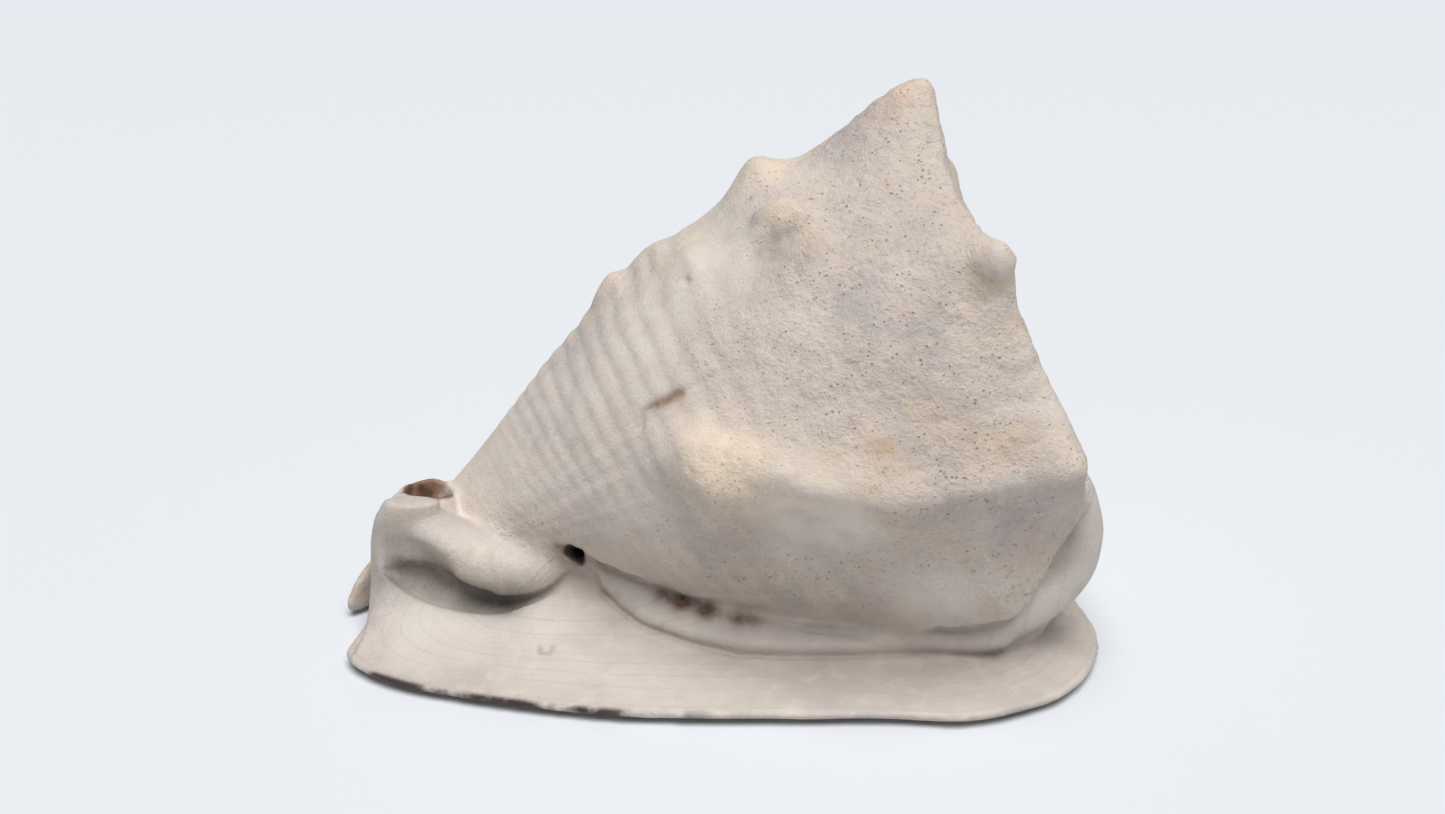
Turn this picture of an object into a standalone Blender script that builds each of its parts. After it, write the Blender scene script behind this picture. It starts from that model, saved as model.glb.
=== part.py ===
"""A helmet shell lying on its shield and outer lip. Metres, +Z up, origin below its middle.

The shell is one solid. Its outer whorl is drawn around the coiling axis, which rises
towards the apex at +X, with the siphonal canal at -X, the parietal shield on the -Y side
and the outer lip on the +Y side. The old lip band, shield, lip, canal and fasciole are
forms of their own that grow into the whorl. The aperture and the chamber behind it are
cut from below.
"""

import bmesh
import bpy
import numpy as np

MM = 0.001

# The coiling axis: its apex, and how steeply it rises towards the apex.
APEX = np.array([88.5, 0.0, 91.4])
AXIS_RISE = np.radians(25.0)
WHORL_RATIO = 1.45
SPIRE_HEIGHT = 6.5
SHOULDER_RADIUS = 62.0
# Between these turns the whorl grows; from the second to the third it closes on itself.
FIRST_TURN = -150.0
LAST_TURN = 125.0
CLOSED_TURN = 210.0
# The spire's surface over one whorl: where its step up begins and ends, and the dip of the
# suture and the row of old knobs along it, each as (height, place, width).
WHORL_SHIFT = 0.12
WHORL_STEP = (0.62, 0.98)
SUTURE = (0.10, 0.66, 0.12)
BEADS = (0.10, 0.95, 0.14)
BEADS_PER_TURN = 7.0

# The finished skin: the grid it is gathered on, and how many triangles it keeps.
SKIN_GRID = 1.25
SKIN_TRIANGLES = 9200
FACE_CUT = 0.25

ALONG = np.array([np.cos(AXIS_RISE), 0.0, np.sin(AXIS_RISE)])
BACK = np.array([-np.sin(AXIS_RISE), 0.0, np.cos(AXIS_RISE)])
FAR = np.array([0.0, 1.0, 0.0])

# How much of the way from pole to pole lies on the spire, before the shoulder.
SPIRE_SHARE = 0.27
# Down the side from the shoulder: where the shoulder's own width gives way to the waist,
# and where knobs and ridges fade out across the shoulder's edge (mm).
WAIST_BEGINS = (4.0, 42.0)
EDGE_FADE = (-22.0, 2.0)

# The side of the whorl at the back, from the shoulder to the tip: along the axis, radius.
SIDE = [
    (-6.4, 55.0), (-7.0, 59.0), (-10.0, 61.6), (-16.0, 63.2), (-32.0, 64.0),
    (-52.0, 63.5), (-79.0, 61.0), (-102.0, 56.5), (-119.0, 50.3), (-134.0, 44.0),
    (-149.0, 36.5), (-166.0, 27.6), (-181.0, 19.6), (-195.0, 11.0), (-202.0, 0.5),
]
# How much wider or narrower than at the back the whorl is at each turn, in degrees from
# the back: the near side is negative, the far side positive. The shoulder also leans
# towards the apex by the last value (mm).
WAIST = [
    (-165, 1.08), (-150, 1.09), (-141, 1.09), (-130, 1.05), (-117, 1.0), (-105, 0.975),
    (-92, 0.965), (-75, 0.96), (-55, 0.95), (-35, 0.955), (-15, 0.975), (5, 1.0),
    (30, 1.01), (60, 1.03), (85, 1.06), (98, 1.12), (108, 1.21), (116, 1.33),
    (124, 1.46), (130, 1.49), (140, 1.36), (155, 1.12), (180, 1.02),
]
SHOULDER = [
    (-160, 1.0, 0.0), (-138, 1.05, 1.0), (-130, 0.98, 1.5), (-118, 0.92, 2.0),
    (-95, 0.92, 2.5), (-75, 0.91, 3.0), (-50, 0.88, 3.0), (-25, 0.92, 0.5),
    (0, 1.0, 1.0), (30, 1.0, 1.5), (60, 1.03, 2.0), (95, 1.10, 2.0), (115, 1.14, 1.0),
    (135, 1.12, 0.0), (160, 0.98, 0.0), (180, 0.93, 0.0),
]
# Knobs: place down the side from the shoulder (mm), turn (degrees), rise, lean towards
# the apex, reach down the side, reach round the turn (all mm), and how pointed it is.
KNOBS = [
    (6.0, 4.0, 14.0, 8.0, 22.0, 15.0, 1.15),
    (5.0, -52.0, 10.0, 3.0, 10.0, 8.0, 1.2),
    (7.0, -107.0, 10.0, 3.0, 15.0, 14.0, 1.4),
    (42.0, -148.0, 17.0, 0.0, 32.0, 32.0, 2.0),
    (7.0, 52.0, 12.0, 4.0, 16.0, 15.0, 1.3),
    (7.0, 101.0, 12.0, 4.0, 16.0, 16.0, 1.3),
    (52.0, 7.0, 8.0, 0.0, 11.0, 14.0, 1.7),
    (50.0, -21.0, 6.5, 0.0, 12.0, 11.0, 1.5),
    (53.0, -95.0, 6.5, 0.0, 15.0, 14.0, 1.7),
    (52.0, 47.0, 6.0, 0.0, 12.0, 12.0, 1.7),
    (52.0, 84.0, 7.0, 0.0, 14.0, 14.0, 1.7),
    (79.0, -13.0, 3.5, 0.0, 8.0, 8.0, 1.8),
    (90.0, 12.0, 2.5, 0.0, 8.0, 8.0, 1.8),
    (106.0, 10.0, 4.0, 0.0, 8.0, 12.0, 1.8),
    (104.0, -74.0, 4.0, 0.0, 14.0, 13.0, 1.8),
    (100.0, 50.0, 3.0, 0.0, 10.0, 12.0, 1.8),
    (102.0, 80.0, 3.5, 0.0, 10.0, 12.0, 1.8),
]
# Where the newest growth ends in a ledge over the old lip band: place down the side, turn.
LEDGE = [
    (0, -134), (12, -135), (30, -139), (50, -145), (76, -143), (98, -137), (118, -132),
    (145, -128), (160, -134),
]
LEDGE_DEPTH = 6.5
LEDGE_TURNS = (2.5, 40.0, 60.0)
# Low ridges that run down the side through the knobs: turn at the shoulder, how far the
# turn shifts for each mm down the side, rise, reach round the turn (mm).
RIDGES = [(-113.0, 0.36, 6.0, 14.0), (3.0, 0.07, 2.0, 15.0)]
RIDGE_ENDS = (0.0, 14.0, 95.0, 125.0)

# The shield and lip seen from above: turn about the middle, distance (mm).
PLATE_OUTLINE = [
    (-94.5, 77.0), (-75.0, 79.6), (-58.0, 90.6), (-47.8, 104.4), (-41.8, 110.0),
    (-35.0, 115.8), (-28.0, 118.2), (-20.0, 118.0), (-14.0, 115.0), (-6.0, 109.0),
    (14.0, 104.0), (30.0, 100.0), (50.0, 92.0), (70.0, 86.0), (90.0, 84.0),
    (110.0, 82.0), (128.0, 82.0), (145.0, 86.0), (160.0, 94.0), (172.0, 101.0),
    (184.0, 104.0), (194.0, 106.0), (198.0, 111.0), (202.0, 118.0), (207.0, 116.5),
    (213.5, 109.5), (221.0, 100.2), (228.5, 92.7), (237.0, 86.5), (246.0, 81.9),
]


# Heights of the plate (mm): its rim, how it rises inwards as (rise, begins, ends), low
# mounds on it as (x, y, rise, reach along x, reach along y), and its step to the lip side.
RIM_HIGH = 4.9
RIM_LOW = 2.1
RIM_ROUND = 3.0
PLATE_RISES = [(1.6, 0.0, 30.0), (3.0, 26.0, 60.0)]
PLATE_MOUNDS = [(-45.0, -6.0, 9.0, 28.0, 22.0), (-93.0, -25.0, 12.0, 17.0, 12.0)]
LIP_SIDE_RISE = 4.0
LIP_SIDE = (-20.0, 10.0)
# The lower face: the ring it stands on, the hollow inside it, the rise at the aperture.
RING_DROP = 2.6
RING_BEGINS = (1.0, 13.0)
HOLLOW_RISE = 2.4
HOLLOW = (19.0, 44.0)
APERTURE_RISE = 2.4
APERTURE_REACH = 14.0
GROUND_MARGIN = 14.0
GROUND_GAP = 0.3
GROUND_FLOOR = -20.0
# How much of a bar's length each round end takes.
ROUND_END = 0.09


def smooth_table(points, x):
    """Reads a table of rows (place, value, ...) at x, on a smooth curve."""
    table = np.array(points, dtype=float)
    knots, values = table[:, 0], table[:, 1:]
    slopes = np.gradient(values, knots, axis=0)
    i = np.clip(np.searchsorted(knots, x) - 1, 0, len(knots) - 2)
    step = (knots[i + 1] - knots[i])[:, None]
    f = np.clip((x - knots[i])[:, None] / step, 0.0, 1.0)
    start = values[i] * (1 + 2 * f) * (1 - f) ** 2 + slopes[i] * step * f * (1 - f) ** 2
    end = values[i + 1] * f * f * (3 - 2 * f) + slopes[i + 1] * step * f * f * (f - 1)
    return (start + end).squeeze(-1) if values.shape[1] == 1 else start + end


def round_table(points, turn):
    """Reads a table that closes on itself after a full turn."""
    before = [(p[0] - 360.0, *p[1:]) for p in points]
    after = [(p[0] + 360.0, *p[1:]) for p in points]
    return smooth_table(before + list(points) + after, turn)


def ease(x, low, high):
    f = np.clip((x - low) / (high - low), 0.0, 1.0)
    return f * f * (3.0 - 2.0 * f)


def bump(x, height, place, width):
    return height * np.exp(-(((x - place) / width) ** 2))


def side_table():
    """The side with its length from the shoulder in front of each row."""
    points = np.array(SIDE)
    steps = np.linalg.norm(np.diff(points, axis=0), axis=1)
    length = np.concatenate([[0.0], np.cumsum(steps)])
    return np.column_stack([length, points])


def length_factor(turn):
    """The whorl grows about the apex, from the near side round the back to the lip."""
    wrapped = np.where(turn < FIRST_TURN, turn + 360.0, turn)
    spiral = WHORL_RATIO ** (np.minimum(wrapped, LAST_TURN) / 360.0)
    start = WHORL_RATIO ** (FIRST_TURN / 360.0)
    return spiral + (start - spiral) * ease(wrapped, LAST_TURN, CLOSED_TURN)


def spire_drop(reach, turn):
    """Depth of the spire's surface below the apex: earlier whorls step up to it."""
    wrapped = np.where(turn < FIRST_TURN, turn + 360.0, turn)
    spiral = WHORL_RATIO ** (wrapped / 360.0)
    whorls = np.log(SHOULDER_RADIUS * spiral / np.maximum(reach, 1.5))
    phase = np.maximum(whorls / np.log(WHORL_RATIO) + WHORL_SHIFT, 0.0)
    whole = np.floor(phase)
    part = phase - whole
    fall = SPIRE_HEIGHT * spiral * WHORL_RATIO ** -whole
    step_up = (1.0 - 1.0 / WHORL_RATIO) * ease(part, *WHORL_STEP)
    beads = bump(part, *BEADS) * np.cos(np.radians(BEADS_PER_TURN * turn))
    return fall * (1.0 - step_up + bump(part, *SUTURE) - beads)


def whorl_place(t, turn):
    """The outer whorl: t runs from the apex over the shoulder to the tip."""
    side = side_table()
    ramp = np.clip(t / SPIRE_SHARE, 0.0, 1.0)
    on_spire = t < SPIRE_SHARE
    down = np.clip((t - SPIRE_SHARE) / (1.0 - SPIRE_SHARE), 0.0, 1.0) * side[-1, 0]
    q = np.where(on_spire, (ramp - 1.0) * SIDE[0][1], down)
    on_side = smooth_table(side, down)
    radius = np.where(on_spire, ramp * SIDE[0][1], on_side[:, 1])
    grow = length_factor(turn)
    shoulder = round_table(SHOULDER, turn)
    to_waist = ease(q, *WAIST_BEGINS)
    width = shoulder[:, 0] + (round_table(WAIST, turn) - shoulder[:, 0]) * to_waist
    reach = radius * width
    on_ramp = -spire_drop(reach, turn)
    settle = ease(ramp, 0.8, 1.0)
    on_ramp += settle * (SIDE[0][0] * grow - on_ramp)
    along = np.where(on_spire, on_ramp, on_side[:, 0] * grow)
    out = np.zeros_like(q)
    back = shoulder[:, 1] * (1.0 - to_waist)
    for place, at, rise, lean, down_reach, round_reach, point in KNOBS:
        turned = (turn - at + 180.0) % 360.0 - 180.0
        across = np.radians(turned) * np.maximum(reach, 20.0) / round_reach
        down_side = (q - place) / np.where(q < place, 0.6 * down_reach, down_reach)
        knob = np.exp(-((down_side**2 + across**2) ** (point / 2.0)))
        out += rise * knob
        back += lean * knob
    for at, shift, rise, round_reach in RIDGES:
        across = np.radians(turn - at - shift * q) * np.maximum(reach, 20.0) / round_reach
        ends = ease(q, *RIDGE_ENDS[:2]) * (1.0 - ease(q, *RIDGE_ENDS[2:]))
        out += rise * ends * np.exp(-(across**2))
    reach = reach + out * ease(q, *EDGE_FADE)
    under = (smooth_table(LEDGE, q) - turn) % 360.0
    ledge = ease(under, 0.0, LEDGE_TURNS[0]) * (1.0 - ease(under, *LEDGE_TURNS[1:]))
    reach -= LEDGE_DEPTH * ledge * ease(q, -10.0, 5.0)
    along = along + back * ease(q, *EDGE_FADE)
    turned = np.radians(turn)[:, None]
    spoke = np.cos(turned) * BACK + np.sin(turned) * FAR
    return APEX + along[:, None] * ALONG + reach[:, None] * spoke


def aperture_line(x):
    """The aperture's middle line seen from above."""
    points = sorted((row[0], row[1]) for row in APERTURE)
    return smooth_table(points, x)


def underside(x, y, inward):
    """The lower face: it stands on a ring inside the rim and rises towards the aperture."""
    low = RIM_LOW - RING_DROP * ease(inward, *RING_BEGINS) + HOLLOW_RISE * ease(inward, *HOLLOW)
    beside = bump(y, APERTURE_RISE, aperture_line(x), APERTURE_REACH)
    return low + beside * ease(inward, *RING_BEGINS)


def ground_place(t, turn):
    """What lies below the lower face, out to past the rim."""
    turned = np.radians(turn)
    edge = round_table(PLATE_OUTLINE, turn)
    top = t < 0.5
    share = np.where(top, t, 1.0 - t) / 0.5
    far = (edge + GROUND_MARGIN) * share
    x = far * np.cos(turned)
    y = far * np.sin(turned)
    low = underside(x, y, np.maximum(edge - far, 0.0)) - GROUND_GAP
    z = np.where(top & (share < 0.999), low, GROUND_FLOOR)
    return np.column_stack([x, y, z])


def plate_place(t, turn):
    """Shield and lip flange: t runs from the middle of the top over the rim to below."""
    turned = np.radians(turn)
    edge = round_table(PLATE_OUTLINE, turn)
    top = t < 0.5
    share = np.where(top, t, 1.0 - t) / 0.5
    share = share**0.75
    round_part = RIM_ROUND / edge
    rim = np.clip((share - 1.0) / round_part + 1.0, 0.0, 1.0)
    inward = edge * (1.0 - share)
    x = edge * share * np.cos(turned)
    y = edge * share * np.sin(turned)
    high = RIM_HIGH + sum(rise * ease(inward, *ends) for rise, *ends in PLATE_RISES)
    for middle_x, middle_y, rise, reach_x, reach_y in PLATE_MOUNDS:
        high += bump(x, rise, middle_x, reach_x) * bump(y, 1.0, middle_y, reach_y)
    high += LIP_SIDE_RISE * ease(y, *LIP_SIDE)
    low = underside(x, y, inward)
    middle = 0.5 * (high + low)
    half = 0.5 * (high - low) * np.sqrt(1.0 - rim**2)
    z = np.where(top, middle + half, middle - half)
    return np.column_stack([x, y, z])


def tube_place(path, up=(0.0, 0.15, 1.0)):
    """A bent bar through rows (x, y, z, half width, half height), with round ends.

    The half height lies towards up, which no part of the bar may run along.
    """
    rows = np.array(path, dtype=float)
    steps = np.linalg.norm(np.diff(rows[:, :3], axis=0), axis=1)
    length = np.concatenate([[0.0], np.cumsum(steps)])
    table = np.column_stack([length, rows])
    nearby = 0.02 * length[-1]

    def place(t, turn):
        p = np.clip((t - ROUND_END) / (1.0 - 2.0 * ROUND_END), 0.0, 1.0) * length[-1]
        at = smooth_table(table, p)
        before = smooth_table(table, np.maximum(p - nearby, 0.0))[:, :3]
        after = smooth_table(table, np.minimum(p + nearby, length[-1]))[:, :3]
        heading = after - before
        heading /= np.linalg.norm(heading, axis=1)[:, None]
        side = np.cross(heading, np.array(up))
        side /= np.linalg.norm(side, axis=1)[:, None]
        lift = np.cross(side, heading)
        end = np.clip(1.0 - np.minimum(t, 1.0 - t) / ROUND_END, 0.0, 1.0)
        size = np.sqrt(1.0 - end**2)[:, None]
        turned = np.radians(turn)[:, None]
        round_it = np.cos(turned) * side * at[:, 3:4] + np.sin(turned) * lift * at[:, 4:5]
        sign = np.where(t < 0.5, -1.0, 1.0)[:, None]
        push = heading * sign * end[:, None] * at[:, 3:4]
        return at[:, :3] + push + round_it * size

    return place


# Bars through rows (x, y, z, half width, half height), mm.
BAND = [
    (-39, -10, 11, 4, 5), (-32, -20, 8, 8, 7.5), (-20, -27, 6, 11.5, 10), (5, -36, 4, 13, 10.5),
    (36, -39, 2.5, 13, 10.5), (62, -39, 2, 12.5, 10), (80, -39, 4, 11, 10),
    (93, -37, 17, 10, 9), (100, -36, 34, 9, 8.5), (100, -37, 48, 6.5, 6), (96, -40, 60, 3, 3),
]
LIP = [
    (-113, -17, 3.2, 3.2, 3.2), (-108, -9, 4, 4.5, 4.5), (-100, 4, 6, 6.5, 6),
    (-88, 24, 6.5, 7, 6.5), (-60, 50, 6, 9, 6.5), (-25, 68, 6, 10, 6.5),
    (20, 74, 6, 11, 7), (58, 66, 7, 10, 8), (84, 44, 8, 8, 8), (98, 18, 7, 7, 7),
    (102, -4, 6, 6, 6),
]
SPOUT = [
    (-66, 0, 2, 14, 14), (-82, -3, 7, 13, 13), (-90, -6, 14, 12.5, 12),
    (-92, -6, 21, 12, 12), (-91.5, -6, 28, 12, 12),
]
SPOUT_FOOT = [(-95, -22, 6, 8, 8), (-90, -19, 12, 12, 11), (-82, -18, 14, 13, 11), (-72, -15, 11, 12, 9)]
FASCIOLE = [
    (-94, -12, 26, 9, 11), (-87, -17, 23.5, 11, 12), (-74, -20, 19.5, 11, 11),
    (-60, -20, 17.5, 10, 9.5), (-50, -17, 17.5, 8, 8), (-44, -11, 18, 5, 5),
]
PILLAR = [
    (-98, -40, 2, 7, 4), (-95, -30, 9, 8, 6), (-93, -23, 17, 9, 7),
    (-92.5, -17.5, 26, 9.6, 6), (-92.5, -15, 34.5, 9.6, 4.5),
]
LIP_END = [
    (-105, -3, 4, 4, 4), (-102, 1, 8, 4.5, 5), (-98, 4, 15, 5, 7), (-95, 4, 24, 5, 7),
]
# The callus that closes the shell behind the aperture, between whorl and plate.
REAR_WALL = [
    (90, -44, 14, 9, 14), (92, -28, 19, 13, 24), (91, -6, 24, 16, 30), (87, 18, 24, 18, 30),
    (79, 40, 17, 15, 23), (70, 54, 11, 10, 14),
]
# The aperture, the chamber over it and the canal, cut from below.
APERTURE = [
    (74, 20, 1, 4, 14), (52, 29, 1, 6.5, 18), (20, 33, 1, 6.8, 20), (-15, 30, 1, 6.5, 20),
    (-50, 18, 1, 6, 16), (-78, 1, 1, 5.5, 13), (-92, -10, 1, 4.5, 12),
    (-106, -24, 0, 3.5, 7), (-122, -38, 0, 3.5, 5),
]
CHAMBER = [
    (56, 22, 52, 20, 18), (38, 30, 44, 26, 26), (5, 33, 37, 26, 26), (-30, 26, 27, 21, 18),
    (-58, 14, 16, 12, 10), (-78, 2, 9, 7, 7),
]
CANAL = [
    (-74, 3, 4, 5, 5), (-84, -4, 9, 6, 6), (-90, -6, 17, 6.5, 6), (-90, -4, 30, 7, 6.5),
    (-89, -3, 56, 8, 8),
]
NOTCH = [
    (-110, -34, -4, 6, 3), (-108, -25, 8, 6, 3), (-105, -15, 18, 6, 2.8),
    (-103, -7, 29, 6, 2.8), (-101, -3, 40, 6, 3), (-101, -2, 56, 6, 3),
]
CHINK = [(-44.5, -27, 26.5, 2.2, 2.2), (-43.5, -17, 22, 3, 3), (-42.5, -8, 18, 2.5, 2.5)]
# Above the canal's mouth, which ends level: two opposite corners.
CANAL_TOP = ((-125.0, -32.0, 39.6), (-82.5, 12.0, 60.0))
# The groove under the newest growth's edge, over the old lip band.
CREASE = [
    (-38, -22, 17.5, 1.2, 1.2), (-21, -31, 17, 1.6, 1.4), (5, -40.5, 14.6, 1.8, 1.4),
    (27, -44, 13, 1.8, 1.4), (50.6, -46.5, 11.8, 1.8, 1.4), (76, -47.5, 11.5, 1.8, 1.4),
    (86, -50, 19, 1.8, 1.4), (92, -49.5, 29, 1.6, 1.6), (100.5, -46, 44, 1.2, 1.6),
]
# Teeth along the lip and folds along the shield, each across the aperture's edge: the
# first and last place along the shell, how many, where they start and end from the
# aperture's middle line, half width.
TEETH = (56.0, -62.0, 12, 5.0, 20.0, 2.1)
FOLDS = (24.0, -74.0, 13, -4.6, -22.0, 1.4)
# Height and half height of each tooth or fold: at the aperture, midway, at its far end.
RIDGE_START = (5.2, 3.0)
RIDGE_MIDDLE = (3.6, 2.4)
RIDGE_END = (2.2, 1.2)
# A box large enough to cut off all that lies below the face the shell rests on.
BELOW = ((-200.0, -200.0, -50.0), (200.0, 200.0, FACE_CUT))


def form(name, place, segments, rings):
    """A closed skin: the vertices of a ball moved to where place() puts them."""
    skin = bmesh.new()
    bmesh.ops.create_uvsphere(skin, u_segments=segments, v_segments=rings, radius=1.0)
    ball = np.array([vert.co for vert in skin.verts])
    t = np.arccos(np.clip(ball[:, 2], -1.0, 1.0)) / np.pi
    turn = np.degrees(np.arctan2(ball[:, 1], ball[:, 0]))
    for vert, point in zip(skin.verts, place(t, turn) * MM):
        vert.co = point
    bmesh.ops.recalc_face_normals(skin, faces=skin.faces)
    mesh = bpy.data.meshes.new(name)
    skin.to_mesh(mesh)
    skin.free()
    made = bpy.data.objects.new(name, mesh)
    bpy.context.scene.collection.objects.link(made)
    return made


def box(name, corners):
    """A box between two opposite corners."""
    low, high = np.array(corners) * MM
    skin = bmesh.new()
    bmesh.ops.create_cube(skin, size=1.0)
    for vert in skin.verts:
        vert.co = 0.5 * (low + high) + np.array(vert.co) * (high - low)
    mesh = bpy.data.meshes.new(name)
    skin.to_mesh(mesh)
    skin.free()
    made = bpy.data.objects.new(name, mesh)
    bpy.context.scene.collection.objects.link(made)
    return made


def join(name, pieces):
    """One object with the meshes of all the pieces."""
    joined = bmesh.new()
    for piece in pieces:
        joined.from_mesh(piece.data)
        bpy.data.objects.remove(piece)
    mesh = bpy.data.meshes.new(name)
    joined.to_mesh(mesh)
    joined.free()
    made = bpy.data.objects.new(name, mesh)
    bpy.context.scene.collection.objects.link(made)
    return made


def apply_modifiers(thing):
    """Keeps what the modifiers make of the object as its own mesh."""
    bpy.context.view_layer.update()
    seen = thing.evaluated_get(bpy.context.evaluated_depsgraph_get())
    mesh = bpy.data.meshes.new_from_object(seen)
    thing.modifiers.clear()
    thing.data = mesh


def gather(thing, grid, smoothing):
    """One skin around everything in the object, with its seams softened."""
    remesh = thing.modifiers.new("gather", "REMESH")
    remesh.mode = "VOXEL"
    remesh.voxel_size = grid * MM
    remesh.adaptivity = 0.0
    soften = thing.modifiers.new("soften", "SMOOTH")
    soften.factor = 0.5
    soften.iterations = smoothing
    apply_modifiers(thing)


def cut(thing, cutter):
    """Takes the cutter out of the object."""
    taking = thing.modifiers.new("cut", "BOOLEAN")
    taking.operation = "DIFFERENCE"
    taking.solver = "EXACT"
    taking.object = cutter
    apply_modifiers(thing)
    bpy.data.objects.remove(cutter)


def cross_ridges(name, row):
    """Ridges across one edge of the aperture."""
    first, last, count, near_end, far_end, half_width = row
    ridges = []
    for i, x in enumerate(np.linspace(first, last, count)):
        y = aperture_line(np.array([x]))[0]
        start = (x, y + near_end, RIDGE_START[0], half_width, RIDGE_START[1])
        middle = (x, y + 0.5 * (near_end + far_end), RIDGE_MIDDLE[0], half_width, RIDGE_MIDDLE[1])
        end = (x, y + far_end, RIDGE_END[0], 0.6 * half_width, RIDGE_END[1])
        ridges.append(form(f"{name}_{i}", tube_place([start, middle, end]), 12, 12))
    return ridges


def sharpen(thing):
    """Fewer, larger facets, and a flat cut where the shell rests."""
    fewer = thing.modifiers.new("fewer", "DECIMATE")
    fewer.ratio = SKIN_TRIANGLES / (2.0 * len(thing.data.polygons))
    fewer.use_collapse_triangulate = True
    apply_modifiers(thing)
    cut(thing, box("below", BELOW))


def centre(thing):
    """Stands the object with the middle of its box over the origin."""
    corners = np.array([vert.co for vert in thing.data.vertices])
    low, high = corners.min(axis=0), corners.max(axis=0)
    thing.location = (-0.5 * (low[0] + high[0]), -0.5 * (low[1] + high[1]), -low[2])


def make_shell():
    shell = join("shell", [
        form("whorl", whorl_place, 192, 144),
        form("plate", plate_place, 160, 64),
        form("band", tube_place(BAND), 24, 60),
        form("lip", tube_place(LIP), 24, 60),
        form("spout", tube_place(SPOUT, FAR), 24, 24),
        form("spout_foot", tube_place(SPOUT_FOOT), 24, 24),
        form("fasciole", tube_place(FASCIOLE), 24, 24),
        form("pillar", tube_place(PILLAR, FAR), 16, 16),
        form("lip_end", tube_place(LIP_END, FAR), 12, 16),
        form("rear_wall", tube_place(REAR_WALL), 24, 24),
    ])
    gather(shell, SKIN_GRID, 3)
    hollow = join("hollow", [
        form("aperture", tube_place(APERTURE), 16, 60),
        form("chamber", tube_place(CHAMBER), 24, 40),
        form("canal", tube_place(CANAL, FAR), 16, 30),
        form("notch", tube_place(NOTCH, FAR), 16, 30),
        form("chink", tube_place(CHINK), 12, 12),
        form("crease", tube_place(CREASE), 12, 80),
        form("ground", ground_place, 160, 100),
        box("canal_top", CANAL_TOP),
    ])
    gather(hollow, SKIN_GRID, 1)
    cut(shell, hollow)
    shell = join("shell", [shell, *cross_ridges("tooth", TEETH), *cross_ridges("fold", FOLDS)])
    gather(shell, SKIN_GRID, 1)
    sharpen(shell)
    centre(shell)
    paint(shell)
    return shell


def paint(thing):
    """Old shell: chalky grey-cream lime."""
    lime = bpy.data.materials.new("chalky shell")
    lime.use_nodes = True
    finish = lime.node_tree.nodes["Principled BSDF"]
    finish.inputs["Base Color"].default_value = (0.56, 0.50, 0.43, 1.0)
    finish.inputs["Roughness"].default_value = 0.6
    finish.inputs["Metallic"].default_value = 0.0
    thing.data.materials.append(lime)


def main():
    for thing in list(bpy.data.objects):
        bpy.data.objects.remove(thing)
    make_shell()


main()
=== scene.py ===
"""The looks of a helmet shell that lies on its shield and outer lip.

The shell is one piece. The forms that the CAD solid is made from are made again here on a
finer grid, and then its skin gets the low relief of an old shell: cords that run round the
whorl, growth lines that run from shoulder to tip, worn lumps, pits, a worm's track and the
thin broken edge of the newest growth. Lengths are in mm until a form is made.
"""

import bmesh
import bpy
import numpy as np
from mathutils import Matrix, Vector
from mathutils.bvhtree import BVHTree


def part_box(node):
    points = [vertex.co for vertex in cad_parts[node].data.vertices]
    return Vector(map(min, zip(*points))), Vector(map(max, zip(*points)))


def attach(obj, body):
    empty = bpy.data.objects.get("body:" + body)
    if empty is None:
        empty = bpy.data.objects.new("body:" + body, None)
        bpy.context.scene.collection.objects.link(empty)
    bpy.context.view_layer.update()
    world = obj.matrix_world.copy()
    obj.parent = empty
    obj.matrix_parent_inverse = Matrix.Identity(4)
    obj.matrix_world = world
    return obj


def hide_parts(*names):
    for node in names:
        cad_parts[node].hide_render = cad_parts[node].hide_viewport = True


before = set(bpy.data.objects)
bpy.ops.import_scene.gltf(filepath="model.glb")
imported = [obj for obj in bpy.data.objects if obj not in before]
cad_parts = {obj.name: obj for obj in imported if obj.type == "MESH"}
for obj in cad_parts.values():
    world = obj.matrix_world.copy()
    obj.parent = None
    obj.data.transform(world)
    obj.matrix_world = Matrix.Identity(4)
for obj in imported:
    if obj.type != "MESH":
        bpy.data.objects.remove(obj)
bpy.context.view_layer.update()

MM = 0.001

# The coiling axis: its apex, and how steeply it rises towards the apex.
APEX = np.array([88.5, 0.0, 91.4])
AXIS_RISE = np.radians(25.0)
WHORL_RATIO = 1.45
SPIRE_HEIGHT = 6.5
SHOULDER_RADIUS = 62.0
# Between these turns the whorl grows; from the second to the third it closes on itself.
FIRST_TURN = -150.0
LAST_TURN = 125.0
CLOSED_TURN = 210.0
# The spire's surface over one whorl: where its step up begins and ends, and the dip of the
# suture and the row of old knobs along it, each as (height, place, width).
WHORL_SHIFT = 0.12
WHORL_STEP = (0.62, 0.98)
SUTURE = (0.10, 0.66, 0.12)
BEADS = (0.10, 0.95, 0.14)
BEADS_PER_TURN = 7.0

# The forms' grid, the finished skin's finer one, how many triangles that keeps, and the
# height that nothing of it lies below.
FORM_GRID = 1.25
SKIN_GRID = 0.85
SKIN_TRIANGLES = 190000
FACE_CUT = 0.25

ALONG = np.array([np.cos(AXIS_RISE), 0.0, np.sin(AXIS_RISE)])
BACK = np.array([-np.sin(AXIS_RISE), 0.0, np.cos(AXIS_RISE)])
FAR = np.array([0.0, 1.0, 0.0])

# How much of the way from pole to pole lies on the spire, before the shoulder.
SPIRE_SHARE = 0.27
# Down the side from the shoulder: where the shoulder's own width gives way to the waist,
# and where knobs and ridges fade out across the shoulder's edge.
WAIST_BEGINS = (4.0, 42.0)
EDGE_FADE = (-22.0, 2.0)
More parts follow.
